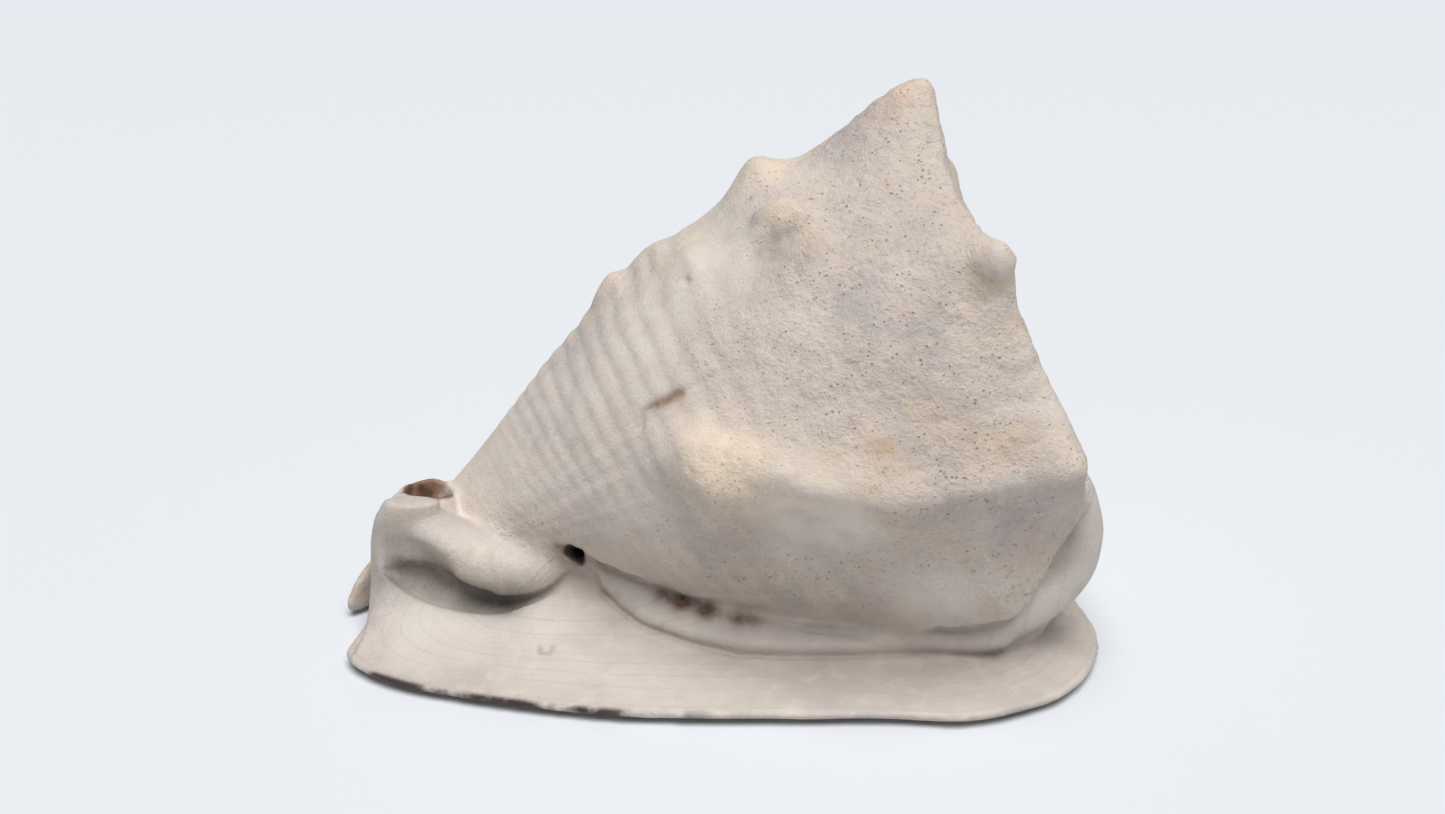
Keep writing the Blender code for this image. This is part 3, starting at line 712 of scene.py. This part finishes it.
# Seams where two forms run into each other smoothly: a line of places, how far from it the
# skin is softened, and how often.
SOFT_SEAMS = [
    ([(-78.2, -1.7, 39.2), (-74.5, -8.9, 38), (-69.8, -14.7, 35.6), (-64.3, -19.4, 32.6),
      (-58.1, -22.9, 30.5), (-52, -25.6, 28.9)], 6, 30),
    ([(-101, -32, 19), (-92, -34, 15), (-86, -35, 13), (-79, -34.5, 11.3), (-73, -33.5, 10),
      (-66, -32, 9.5)], 4.5, 16),
    ([(-86, -26, 25), (-80, -28, 20), (-75, -29, 16)], 5.5, 24),
    ([(-100, -24, 30), (-93, -23, 31), (-83.3, -25, 27), (-76, -28, 20.6),
      (-71.3, -29, 16)], 4.5, 18),
    ([(-101, -18, 39), (-94, -20, 40), (-84, -18, 40), (-99, -2, 37), (-92, 4, 41),
      (-84, 2, 39)], 4, 5),
]
# A worm's track, and a crack that runs on from it.
WORM_TRACK = [
    (-22.5, -40.4, 73), (-21.9, -39.3, 77.4), (-18.9, -39.7, 78.7), (-14.9, -40.8, 81),
    (-11.4, -42.2, 83.8),
]
CRACK = [
    (-11.4, -42.2, 83.4), (-8.7, -42.4, 85.5), (-3.3, -43.2, 88.7), (2, -44.1, 91.7),
    (4.1, -44.6, 92.7),
]
# Where the lowest ridge of old knobs turns under, and where the band meets the shield.
SHOULDER_LINE = [
    (-8, -53, 74.5), (4.8, -59, 72), (13.4, -63, 69), (24, -66, 66), (38, -71, 66),
    (50, -72.6, 67), (60, -70.5, 67.5), (74, -69, 69), (90, -67.5, 73),
]
BAND_SEAM = [
    (-40.3, -29.5, 26.5), (-39.5, -26.8, 20.5), (-36.4, -26, 14), (-30.7, -31.7, 11.3),
    (-24, -37.9, 9.3), (-9.3, -45.3, 7.8), (5, -50.2, 6.9), (21.9, -51.5, 7.1),
    (36, -51.4, 7.3), (50.3, -51, 7.6), (64.5, -52, 8.1), (78, -52.5, 9.5),
]
# The crease under the canal's roll, a worn scratch on the shield.
ROLL_SEAM = [
    (-71.4, -29.9, 12.3), (-62.6, -29.9, 12), (-55.3, -28.8, 13), (-49.6, -26.5, 14.4),
    (-45.3, -23.6, 16.8), (-42.2, -27.6, 24.5),
]
SCRATCH = [(-52.3, -46, 7), (-51.8, -49, 6.6), (-49.2, -49.3, 6.6), (-48.6, -46, 7)]
SEAM_X, _, SEAM_Z = zip(*BAND_SEAM)
# The line of the groove under the newest growth's edge.
CREASE_LINE = [row[:3] for row in CREASE]
# The worn crest of one old knob.
CRESCENT = [(10, -17.5, 126), (14.2, -19.4, 128.5), (18.2, -20.9, 129.4), (21.6, -24.5, 128)]
# The hollow beside it and other dents and lifts: place, reach, rise.
DENTS = [
    (13.5, -28, 121, 6.5, -2.8), (8.8, -26.4, 117.7, 5, -1), (18, -29, 124, 4.5, -1),
    (71, -51, 123, 7, 3.4), (64, -56, 116, 6, -1.2), (66.8, -47.7, 127, 1.6, -0.8),
    (-9.8, -19.8, 108.4, 1, -0.9),
]
# Low crests and grooves along lines, on the whorl and on the shield: line, rise, half width.
WHORL_LINES = [
    (CRESCENT, 1.7, 2.4), (SHOULDER_LINE, 1.4, 4.5), (WORM_TRACK, -0.8, 1.0), (CRACK, -0.3, 0.7),
]
SHIELD_LINES = [(ROLL_SEAM, -1.0, 0.9), (SCRATCH, -0.35, 0.55)]
CREASE_GROOVE = (-0.9, 1.3)
# The groove along the band's seam and the roll above it, each as (rise, how far from the
# seam, half width), what counts as above it, and where along the shell the groove fades.
SEAM_GROOVE = (-1.1, 0.0, 0.9)
SEAM_ROLL = (0.9, 3.0, 2.2)
ABOVE_SEAM = (-0.6, 0.6)
SEAM_FADES = (40.0, 80.0)
# Growth lines run down the side: how wide one is in degrees of the turn and how long in mm,
# and each set of them as (stretch, seed, rise). Wrinkles are the same, near the tip.
GROWTH_LINE = (3.1, 55.0)
GROWTH_SETS = [((1.0, 1.0, 1.0), 5, 0.07), ((2.3, 1.5, 1.0), 6, 0.05)]
WRINKLES = ((0.9, 1.2, 1.0), 31, 0.16)
# Lumps on the whorl: size, seed, rise, how much more where it is worn; on the callus: size,
# seed, rise. Pits: spacing, radius, share of the places that hold one, seed, depth, and the
# share of the depth where nothing is worn.
LUMPS = [(15, 7, 0.55, 0), (5, 8, 0.10, 0.26), (2.4, 9, 0.05, 0.26)]
CALLUS_LUMPS = [(11, 21, 0.12), (3, 22, 0.04)]
PITS = [(3, 0.9, 0.30, 11, 0.5, 0.15), (8, 1.9, 0.25, 17, 0.45, 0)]
# The skin is the whorl's this near to the whorl's own sheet, but not on the lower face: how
# far that faces down, and how high it reaches.
WHORL_NEAR = (0.8, 2.4)
FACES_DOWN = (0.2, 0.6)
LOWER_FACE = (5.0, 8.0)
# Where cords and wrinkles come in and fade, in mm down the side and degrees of the turn, with
# the share of the cords that goes at the tip and the share left before their turn.
CORDS_BEGIN, CORDS_FADE, CORDS_TURN = (55.0, 100.0), (132.0, 172.0), (-85.0, -50.0)
CORDS_GO, CORDS_LEFT = 0.75, 0.30
WRINKLES_BEGIN, WRINKLES_END, WRINKLES_TURN = (75.0, 120.0), (165.0, 185.0), (-25.0, -50.0)
# Wear: its patches as (size, seed), how much more of it there is high up the side, from and
# to where, and how much of it counts as worn.
WEAR_PATCHES = (30.0, 10)
WEAR_ABOVE = 0.9
WEAR_HIGH = (115.0, 35.0)
WORN = (0.1, 0.9)


class Skin:
    """What is known at each corner of the skin: where it is and what lies there."""

    def __init__(self, points, normals, whorl):
        self.points, self.normals = points, normals
        off, t, self.turn = whorl.find(points)
        q = self.q = down_the_side(t)
        low = ease(-normals[:, 2], *FACES_DOWN) * fade(points[:, 2], *LOWER_FACE)
        self.on_whorl = fade(off, *WHORL_NEAR) * (1.0 - low)
        self.off_whorl = 1.0 - self.on_whorl
        self.corded = ease(q, *CORDS_BEGIN) * (1.0 - CORDS_GO * ease(q, *CORDS_FADE))
        self.corded *= CORDS_LEFT + (1.0 - CORDS_LEFT) * ease(self.turn, *CORDS_TURN)
        self.wrinkled = ease(q, *WRINKLES_BEGIN) * ease(self.turn, *WRINKLES_TURN)
        self.wrinkled *= fade(q, *WRINKLES_END)
        bend, size, seed = CORD_BEND
        self.cords = cord_wave(q + bend * cloud(points, size, seed))
        self.worn = ease(
            cloud(points, *WEAR_PATCHES) + WEAR_ABOVE * ease(q, *WEAR_HIGH), *WORN)


def relief(skin):
    """How far the low relief lifts each corner of the skin."""
    p, worn = skin.points, skin.worn
    least, more, size, seed = CORD_SWAY
    sway = least + more * cloud(p, size, seed)
    up = CORD_HEIGHT * sway * (skin.cords - CORD_LEVEL) * skin.corded
    wide, long = GROWTH_LINE
    fan = np.stack([skin.turn / wide, skin.q / long, np.zeros_like(worn)], axis=1)
    lines = sum(rise * cloud(fan * stretch, 1.0, seed) for stretch, seed, rise in GROWTH_SETS)
    stretch, seed, rise = WRINKLES
    up += lines + rise * skin.wrinkled * cloud(fan * stretch, 1.0, seed)
    up += sum((rise + more * worn) * cloud(p, size, seed) for size, seed, rise, more in LUMPS)
    for *kind, depth, least in PITS:
        up -= depth * (pocks(p, *kind) * (least + (1.0 - least) * worn))
    for *place, rise in DENTS:
        up += rise * spot(p, *place)
    for row in WHORL_LINES:
        up += beside_line(p, *row)
    up *= skin.on_whorl
    up += beside_line(p, CREASE_LINE, *CREASE_GROOVE) * skin.off_whorl
    seam = near_line(p, BAND_SEAM)
    up += bump(seam, *SEAM_GROOVE) * fade(p[:, 0], *SEAM_FADES)
    for row in SHIELD_LINES:
        up += beside_line(p, *row)
    above = ease(p[:, 2] - np.interp(p[:, 0], SEAM_X, SEAM_Z), *ABOVE_SEAM)
    rise, *beside = SEAM_ROLL
    up += rise * above * bump(seam, 1.0, *beside) * skin.off_whorl
    callus = sum(rise * cloud(p, size, seed) for size, seed, rise in CALLUS_LUMPS)
    return up + skin.off_whorl * callus


def make_skin():
    """The shell as one closed skin, and a tree of the inner hollow's skin."""
    shell = join("helmet", [
        form(whorl_place, 256, 192), form(plate_place, 240, 96), bar(BAND, 40, 100),
        bar(BAND_ROLL, 32, 160, FAR), bar(LIP, 32, 100), bar(SPOUT, 32, 32, FAR),
        bar(SPOUT_FOOT, 32, 32), bar(FASCIOLE, 32, 32), bar(PILLAR, 24, 24, FAR),
        bar(LIP_END, 16, 24, FAR), bar(REAR_WALL, 32, 32), bar(FAR_WALL, 16, 48),
        bar(LIP_FIN, 16, 48),
    ])
    gather(shell, FORM_GRID, 2)
    inner = join("inner", [bar(APERTURE, 20, 80), bar(CHAMBER, 32, 50), bar(CANAL, 20, 40, FAR)])
    faces = [tuple(face.vertices) for face in inner.data.polygons]
    emptied = BVHTree.FromPolygons((at_corners(inner.data, "co") / MM).tolist(), faces)
    hollow = join("hollow", [
        inner, bar(UNDER_ROLL, 20, 60), bar(SCOOP, 20, 40), bar(NOTCH, 20, 40, FAR),
        bar(CHINK, 16, 16), wedge(CHINK_MOUTH), bar(CREASE, 12, 100),
        form(ground_place, 160, 100), wedge(CANAL_TOP),
    ])
    gather(hollow, FORM_GRID, 1)
    cut(shell, hollow)
    shell = join("helmet", [shell, *cross_ridges(*TEETH), *cross_ridges(*FOLDS)])
    gather(shell, SKIN_GRID, 2)
    return shell, emptied


def soften_seams(mesh):
    """Runs the forms into each other along the soft seams."""
    points = at_corners(mesh, "co") / MM
    skin = bmesh.new()
    skin.from_mesh(mesh)
    corners = list(skin.verts)
    for line, reach, rounds in SOFT_SEAMS:
        near = [corners[i] for i in np.flatnonzero(near_line(points, line) < reach)]
        for _ in range(rounds):
            bmesh.ops.smooth_vert(
                skin, verts=near, factor=0.5, use_axis_x=True, use_axis_y=True, use_axis_z=True)
    skin.to_mesh(mesh)
    skin.free()


def carve(shell, whorl):
    """Gives the skin its low relief, then fewer triangles where it is smooth."""
    mesh = shell.data
    soften_seams(mesh)
    skin = Skin(at_corners(mesh, "co") / MM, at_corners(mesh, "normal"), whorl)
    points = skin.points + skin.normals * relief(skin)[:, None]
    points[:, 2] = np.maximum(points[:, 2], FACE_CUT)
    mesh.vertices.foreach_set("co", (points * MM).ravel())
    mesh.update()
    fewer = shell.modifiers.new("fewer", "DECIMATE")
    fewer.ratio = min(1.0, SKIN_TRIANGLES / (2.0 * len(mesh.polygons)))
    fewer.use_collapse_triangulate = True
    apply_modifiers(shell)


def settle_in_box(shell):
    """Moves the skin into the CAD solid's box, and says where it was in the design's mm."""
    points = at_corners(shell.data, "co")
    low, high = points.min(axis=0), points.max(axis=0)
    box_low, box_high = (np.array(corner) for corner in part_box("shell"))
    size = (box_high - box_low) / (high - low)
    placed = box_low + (points - low) * size
    shell.data.vertices.foreach_set("co", placed.ravel())
    shell.data.update()
    return points / MM


def linear(colour):
    """An sRGB hex value as the linear colour that a shader takes."""
    parts = [int(colour[i:i + 2], 16) / 255.0 for i in (1, 3, 5)]
    return (*[c / 12.92 if c <= 0.04045 else ((c + 0.055) / 1.055) ** 2.4 for c in parts], 1.0)


def add(nodes, kind, settings, inputs, output=0):
    """Adds a node: its settings, a number, colour or socket for each input, and one output."""
    node = nodes.new(kind)
    for key, value in settings.items():
        setattr(node, key, value)
    for key, value in inputs.items():
        if isinstance(value, bpy.types.NodeSocket):
            nodes.id_data.links.new(value, node.inputs[key])
        else:
            node.inputs[key].default_value = linear(value) if isinstance(value, str) else value
    return node.outputs[output]


# Colour marks on the skin, as place, reach and strength.
MARKS = {
    "cream": [
        (-0.7, -59.6, 69.4, 9, 0.8), (4.8, -58.4, 72.6, 8, 0.9), (-5, -54, 74, 8, 0.7),
        (47.1, -71.8, 70.4, 7, 0.6), (85.8, -66.8, 77.3, 7, 0.5), (92.4, -66.5, 72.7, 6, 0.4),
        (54.5, 1.8, 156, 9, 0.8), (13, 0, 138, 9, 0.9), (16, -20.5, 129, 5.5, 1),
        (70.7, -49.2, 123.7, 7, 1), (-9.2, -2.7, 114.8, 6, 0.5), (-32.4, 5.9, 100.6, 7, 0.4),
        (20, -62, 70, 9, 0.5), (33, -67, 68, 8, 0.5),
    ],
    "brown": [
        (-17.2, -34.2, 17.6, 3, 1), (-11.6, -35.8, 15.6, 3.2, 1.3), (-4, -38.6, 14, 3.4, 1.3),
        (5, -41, 12.6, 3.2, 1.1), (9.5, -42.3, 12, 2.4, 0.8), (13, -28.5, 120.5, 3, 0.3),
        (-9.8, -19.8, 108.4, 0.9, 0.6), (-43.6, -24, 27, 5, 0.9), (-48, -27, 29, 2.4, 0.4),
    ],
    "tan": [
        (43.9, -67.4, 76.8, 6, 0.5), (41, -66, 80, 4.5, 0.35), (13.2, -28.2, 121, 6, 0.5),
        (69, -50, 121, 5, 0.6), (-93, -20, 38, 6, 0.3), (-80, -26, 24, 7, 0.35),
        (-69, -26, 22, 6, 0.3), (-112, -15, 7, 3, 0.8), (-108.5, -11, 14, 3.5, 0.8),
        (30, -62, 76, 5, 0.4), (76, -64, 80, 6, 0.35),
    ],
    "rosy": [(45.4, -1.1, 151.8, 6, 0.7), (60, -30, 134, 8, 0.35), (8, -50, 84, 9, 0.3)],
    "green": [(57.3, -8.3, 149.5, 4, 0.6), (57, -14, 143, 3, 0.3)],
}
# Colour beside lines, as line, strength, half width: painted shade in the hollow under the canal's
# roll, with a painted shade mark on the roll's wall above it, the pale edges of the growth and of
# the valley by the canal, painted shade in the band's seam and the roll's crease, and a worn
# scratch.
ROLL_SHADE_LINE = [(-96, -26, 21), (-87, -25.5, 18), (-80, -25, 15.5), (-72, -26, 13), (-64, -28, 12)]
ROLL_SHADE = (ROLL_SHADE_LINE, 1.0, 7.5)
WALL_SHADE_MARK = (-96, -23, 28, 11, 0.42)
PALE_EDGES = [(CREASE_LINE, 1.0, 3.0), (SOFT_SEAMS[0][0], 1.0, 8.0)]
# Painted shade in the band's seam and in the roll's crease; the scratch is a worn mark of its own.
BAND_SEAM_SHADE = (BAND_SEAM, 1.0, 0.8)
CREASE_SHADE_AND_SCRATCH = [(ROLL_SEAM, 0.8, 0.9), (SCRATCH, 0.8, 0.6)]
# Half width of the worm's track at two heights.
TRACK_WIDTH = ((73.0, 82.0), (0.9, 1.8))
# How near to the hollow the skin has its colour; the rim's width and height; where it is
# stained, on the near side and the left, and how much elsewhere; how far in rings count.
HOLLOW_NEAR = (0.6, 1.8)
RIM_WIDE, RIM_TALL = (1.2, 3.0), (4.2, 5.4)
STAINED_NEAR, STAINED_LEFT, STAINED_LEAST = (40.0, 58.0), (-10.0, 35.0), 0.15
RINGS_REACH = 60.0


def describe(shell, points, whorl, emptied):
    """Notes on the mesh for its material: what lies at each corner of the skin."""
    mesh = shell.data
    skin = Skin(points, at_corners(mesh, "normal"), whorl)
    x, y, z = points.T
    angle = np.degrees(np.arctan2(y, x))
    angle = np.where(angle < PLATE_OUTLINE[0][0], angle + 360.0, angle)
    inward = round_table(PLATE_OUTLINE, angle) - np.hypot(x, y)
    rim = fade(inward, *RIM_WIDE) * fade(z, *RIM_TALL)
    stained = ease(-y, *STAINED_NEAR) * ease(-x, *STAINED_LEFT)
    away = np.array([emptied.find_nearest(point)[3] for point in points.tolist()])
    *place, strength = WALL_SHADE_MARK
    notes = {
        "outer": skin.on_whorl, "down": skin.q, "round": skin.turn,
        "inward": np.clip(inward, 0.0, RINGS_REACH), "worn": skin.worn * skin.on_whorl,
        "groove": 0.5 * (1.0 - skin.cords) * skin.corded * skin.on_whorl,
        "edge": np.max([beside_line(points, *row) for row in PALE_EDGES], axis=0) * skin.on_whorl,
        "inside": fade(away, *HOLLOW_NEAR) * skin.off_whorl,
        # painted shade in the hollow under the canal's roll and on the roll's wall above it
        "dirt": np.maximum(beside_line(points, *ROLL_SHADE), strength * spot(points, *place)),
        "track": skin.on_whorl * beside_line(points, WORM_TRACK, 1.0, np.interp(z, *TRACK_WIDTH)),
        # painted shade in the band's seam and the roll's crease, and the worn scratch's own colour
        "seam": np.max([
            beside_line(points, *BAND_SEAM_SHADE) * fade(x, *SEAM_FADES) * skin.off_whorl,
            *(beside_line(points, *row) for row in CREASE_SHADE_AND_SCRATCH)], axis=0),
        "rim": rim * (STAINED_LEAST + (1.0 - STAINED_LEAST) * stained),
    }
    for name, table in MARKS.items():
        together = sum(strength * spot(points, *row) for *row, strength in table)
        notes[name] = np.clip(together, 0.0, 1.0)
    for name, values in notes.items():
        layer = mesh.attributes.new(name, "FLOAT", "POINT")
        layer.data.foreach_set("value", values.astype(np.float32))
    return list(notes)


# Noises as (laid out along, size of a lump there, detail, roughness). The places are metres
# on the object; the growth and the rings are counted in lines, per degree of the turn and mm
# down the side, and per mm inwards from the rim, so that a line is about 2 of them wide.
GROWTH_PER_DEGREE, GROWTH_PER_MM, RINGS_PER_MM = 0.55, 0.03, 0.5
NOISES = {
    "broad": ("place", 26.0 * MM, 4.0, 0.55), "wide": ("place", 19.0 * MM, 3.0, 0.55),
    "patch": ("place", 11.0 * MM, 3.0, 0.55), "blot": ("place", 6.0 * MM, 4.0, 0.55),
    "fleck": ("place", 3.2 * MM, 5.0, 0.6), "grain": ("place", 1.5 * MM, 6.0, 0.68),
    "fine": ("place", 0.8 * MM, 3.0, 0.6), "streaks": ("growth", 1.0, 3.0, 0.5),
    "rings": ("rings", 1.0, 3.0, 0.55),
}
# Coats of colour, each laid over the last: colour, pattern, from and to where it comes in,
# least and most of it, and the note that holds it with what that lets through at 0 and 1.
OUTSIDE = [
    ("#b8ada7", "broad", 0.42, 0.66, 0, 1, "outer", 1, 1),
    ("#cdb8a0", "wide", 0.50, 0.70, 0, 0.6, "outer", 1, 1),
    ("#ddd2c7", "streaks", 0.50, 0.75, 0, 0.16, "worn", 1, 0.2),
    ("#a99c92", "streaks", 0.48, 0.28, 0, 0.20, "worn", 1, 0.2),
    ("#a0948c", "blot", 0.35, 0.60, 0.45, 0.75, "groove", 0, 1),
    ("#a59b93", "grain", 0.50, 0.34, 0, 1, "worn", 0.15, 0.45),
    ("#ddd4cb", "fleck", 0.54, 0.70, 0, 1, "worn", 0.05, 0.35),
    ("#cfb9ae", "patch", 0.52, 0.70, 0, 0.55, "outer", 1, 1),
    ("#74655a", "pits", 0, 1, 0, 0.46, "worn", 0.2, 1),
    ("#dcd3ca", "blot", 0.30, 0.65, 0.3, 0.7, "worn", 0.8, 0),
    ("#e0ccb5", "blot", 0.30, 0.62, 0.45, 1, "cream", 0, 1),
    ("#cfa79a", "fleck", 0.40, 0.60, 0, 1, "rosy", 0, 1),
    ("#9fa686", "grain", 0.44, 0.60, 0, 1, "green", 0, 1),
    ("#dccfc2", "blot", 0.30, 0.60, 0.5, 0.9, "edge", 0, 1),
]
CALLUS = [
    ("#b9aea7", "broad", 0.40, 0.65, 0, 1, "outer", 1, 1),
    ("#ada094", "rings", 0.48, 0.76, 0, 0.5, "outer", 1, 1),
    ("#d2c7bc", "blot", 0.50, 0.75, 0, 0.5, "outer", 1, 1),
    # Dark grey-brown painted shade in the hollow under the canal's roll and on the roll's wall.
    ("#4b4543", "blot", 0.30, 0.60, 0.6, 0.9, "dirt", 0, 1),
    ("#a27d66", "patch", 0.30, 0.60, 0.8, 0.95, "inside", 0, 1),
    ("#5e3d2f", "patch", 0.38, 0.60, 0, 0.9, "inside", 0, 1),
]
STAINS = [
    ("#b49676", "fleck", 0.36, 0.60, 0.2, 1, "tan", 0, 1),
    ("#5f4332", "fleck", 0.30, 0.58, 0.7, 1, "brown", 0, 1),
    ("#8a6b52", "fleck", 0.36, 0.56, 0.75, 1, "track", 0, 1),
    # Darker brown: painted shade in the band's seam and the roll's crease, and the scratch's own
    # mark.
    ("#8d6f5c", "blot", 0.30, 0.60, 0.6, 0.9, "seam", 0, 1),
    ("#3b2a25", "patch", 0.38, 0.58, 0, 1, "rim", 0, 1),
]
# Height of the fine relief: pattern, how much of it, note, what that lets through.
FINE_RELIEF = [
    ("grain", 1, "worn", 0.35, 1), ("fleck", 1.1, "worn", 0.25, 1),
    ("fine", 0.30, "worn", 0.5, 1), ("pits", -1.2, "worn", 0.1, 1),
    ("streaks", 0.3, "worn", 1, 0), ("rings", 0.25, "outer", 1, 0),
]
RELIEF_HEIGHT = 0.6 * MM
# The cells that hold the pits. A pit is 0.3 to 0.8 mm across, a little coarser than the
# finest real ones, which are too fine to show.
PIT_SPACING = 1.5 * MM
# Roughness of the smooth callus and of the chalky outside, and how much more in flecks.
SATIN, MATT, FLECKED = 0.50, 0.74, 0.12
# Kinds of node with their settings. A colour Mix has its factor at input 0, its colours at
# inputs 6 and 7 and its result at output 2.
MULTIPLY = ("ShaderNodeMath", {"operation": "MULTIPLY"})
RANGE = ("ShaderNodeMapRange", {})
SMOOTH_RANGE = ("ShaderNodeMapRange", {"interpolation_type": "SMOOTHSTEP"})
MIX = ("ShaderNodeMix", {"data_type": "RGBA"})


def weathered_lime(shell, notes):
    """Old seashell, aragonite grown in layers: outside it is chalky and matt, etched grey and
    pitted by the sea, with cream where it was rubbed; the callus is smooth and satin."""
    lime = bpy.data.materials.new("weathered shell lime")
    lime.use_nodes = True
    nodes = lime.node_tree.nodes
    seen = {}
    for name in notes:
        seen[name] = add(nodes, "ShaderNodeAttribute", {"attribute_name": name}, {}, "Fac")
    laid = {
        "place": add(nodes, "ShaderNodeTexCoord", {}, {}, "Object"),
        "growth": add(nodes, "ShaderNodeCombineXYZ", {}, {
            "X": add(nodes, *MULTIPLY, {0: seen["round"], 1: GROWTH_PER_DEGREE}),
            "Y": add(nodes, *MULTIPLY, {0: seen["down"], 1: GROWTH_PER_MM})}),
        "rings": add(nodes, "ShaderNodeCombineXYZ", {}, {
            "X": add(nodes, *MULTIPLY, {0: seen["inward"], 1: RINGS_PER_MM})}),
    }
    for name, (along, size, detail, rough) in NOISES.items():
        seen[name] = add(nodes, "ShaderNodeTexNoise", {}, {
            "Vector": laid[along], "Scale": 1.0 / size, "Detail": detail, "Roughness": rough})
    cells = {"Vector": laid["place"], "Scale": 1.0 / PIT_SPACING}
    pit_size = add(nodes, *SMOOTH_RANGE, {
        "Value": add(nodes, "ShaderNodeTexVoronoi", {}, cells, "Color"),
        "From Min": 0.2, "From Max": 0.95, "To Min": 0.10, "To Max": 0.30})
    depth = add(nodes, "ShaderNodeMath", {"operation": "SUBTRACT"}, {
        0: pit_size, 1: add(nodes, "ShaderNodeTexVoronoi", {}, cells, "Distance")})
    seen["pits"] = add(nodes, *MULTIPLY, {
        0: add(nodes, *SMOOTH_RANGE, {"Value": depth, "From Max": 0.10}),
        1: add(nodes, *RANGE, {"Value": seen["blot"], "From Min": 0.42, "From Max": 0.60})})

    # The callus, the outside of the whorl, and then the stains, with painted shade in two creases,
    # that lie over both.
    coated = {}
    for name, base, coats in (
            ("callus", "#c6bdb4", CALLUS), ("skin", "#cdc1b5", OUTSIDE), ("shell", None, STAINS)):
        if base is None:
            base = add(nodes, *MIX, {0: seen["outer"], 6: coated["callus"], 7: coated["skin"]}, 2)
        for colour, pattern, begins, full, least, most, held_by, at_none, at_all in coats:
            comes_in = add(nodes, *SMOOTH_RANGE, {
                "Value": seen[pattern], "From Min": begins, "From Max": full,
                "To Min": least, "To Max": most})
            let_through = add(nodes, *RANGE, {
                "Value": seen[held_by], "To Min": at_none, "To Max": at_all})
            share = add(nodes, *MULTIPLY, {0: comes_in, 1: let_through})
            base = add(nodes, *MIX, {0: share, 6: base, 7: colour}, 2)
        coated[name] = base

    gloss = add(nodes, "ShaderNodeMath", {"operation": "ADD"}, {
        0: add(nodes, *RANGE, {"Value": seen["outer"], "To Min": SATIN, "To Max": MATT}),
        1: add(nodes, *RANGE, {
            "Value": seen["fleck"], "From Min": 0.3, "From Max": 0.7, "To Max": FLECKED})})
    height = add(nodes, *MULTIPLY, {0: seen["fine"], 1: 0.1})
    for pattern, most, held_by, at_none, at_all in FINE_RELIEF:
        let_through = add(nodes, *RANGE, {
            "Value": seen[held_by], "To Min": most * at_none, "To Max": most * at_all})
        height = add(nodes, "ShaderNodeMath", {"operation": "MULTIPLY_ADD"}, {
            0: seen[pattern], 1: let_through, 2: height})
    raised = add(nodes, "ShaderNodeBump", {}, {
        "Height": height, "Strength": 1.0, "Distance": RELIEF_HEIGHT})

    finish = nodes["Principled BSDF"]
    finish.inputs["IOR"].default_value = 1.55
    for key, socket in (("Base Color", coated["shell"]), ("Roughness", gloss), ("Normal", raised)):
        lime.node_tree.links.new(socket, finish.inputs[key])
    shell.data.materials.clear()
    shell.data.materials.append(lime)


def make_shell():
    whorl = Sheet(whorl_place, 256, 192)
    shell, emptied = make_skin()
    carve(shell, whorl)
    points = settle_in_box(shell)
    weathered_lime(shell, describe(shell, points, whorl, emptied))
    for face in shell.data.polygons:
        face.use_smooth = True
    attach(shell, "root")
    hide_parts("shell")


# The stage, in metres: a floor of matt card, a dim room, and a panel so wide overhead that it
# is seen under an angle of 50 degrees.
FLOOR_REACH = 20.0
CARD_COLOUR, CARD_ROUGHNESS = "#d3d6da", 0.85
ROOM_COLOUR, ROOM_STRENGTH = "#e9edf2", 0.18
PANEL_PLACE = (0.08, -0.28, 1.05)
PANEL_ANGLE, PANEL_STRENGTH = 50.0, 3.65
# The camera with the photograph's viewing angle: what width is seen from what distance.
CAMERA_PLACE = (0.00274, -0.41815, 0.23758)
CAMERA_AIM = (0.00274, -0.00392, 0.06175)
SENSOR_WIDTH = 36.0
SEEN_WIDTH, SEEN_FROM = 1445.0, 1500.0
NEAREST_SEEN = 0.01


def make_stage():
    """A plain pale floor, soft light from above and the camera."""
    scene = bpy.context.scene
    skin = bmesh.new()
    bmesh.ops.create_grid(skin, x_segments=1, y_segments=1, size=FLOOR_REACH)
    floor = keep("floor", skin)
    card = bpy.data.materials.new("pale card")
    card.use_nodes = True
    surface = card.node_tree.nodes["Principled BSDF"].inputs
    surface["Base Color"].default_value = linear(CARD_COLOUR)
    surface["Roughness"].default_value = CARD_ROUGHNESS
    floor.data.materials.append(card)
    scene.world = bpy.data.worlds.new("room")
    scene.world.use_nodes = True
    room = scene.world.node_tree.nodes["Background"].inputs
    room["Color"].default_value = linear(ROOM_COLOUR)
    room["Strength"].default_value = ROOM_STRENGTH
    light = bpy.data.lights.new("wide panel overhead", "SUN")
    light.angle = np.radians(PANEL_ANGLE)
    light.energy = PANEL_STRENGTH
    lamp = show("wide panel overhead", light)
    lamp.location = PANEL_PLACE
    lamp.rotation_euler = lamp.location.to_track_quat("Z", "Y").to_euler()
    scene.view_settings.view_transform = "Standard"
    lens = bpy.data.cameras.new("camera")
    lens.sensor_width = SENSOR_WIDTH
    lens.lens = SENSOR_WIDTH * SEEN_FROM / SEEN_WIDTH
    lens.clip_start = NEAREST_SEEN
    camera = show("camera", lens)
    camera.location = CAMERA_PLACE
    aim = Vector(CAMERA_AIM) - camera.location
    camera.rotation_euler = aim.to_track_quat("-Z", "Y").to_euler()
    scene.camera = camera


make_shell()
make_stage()
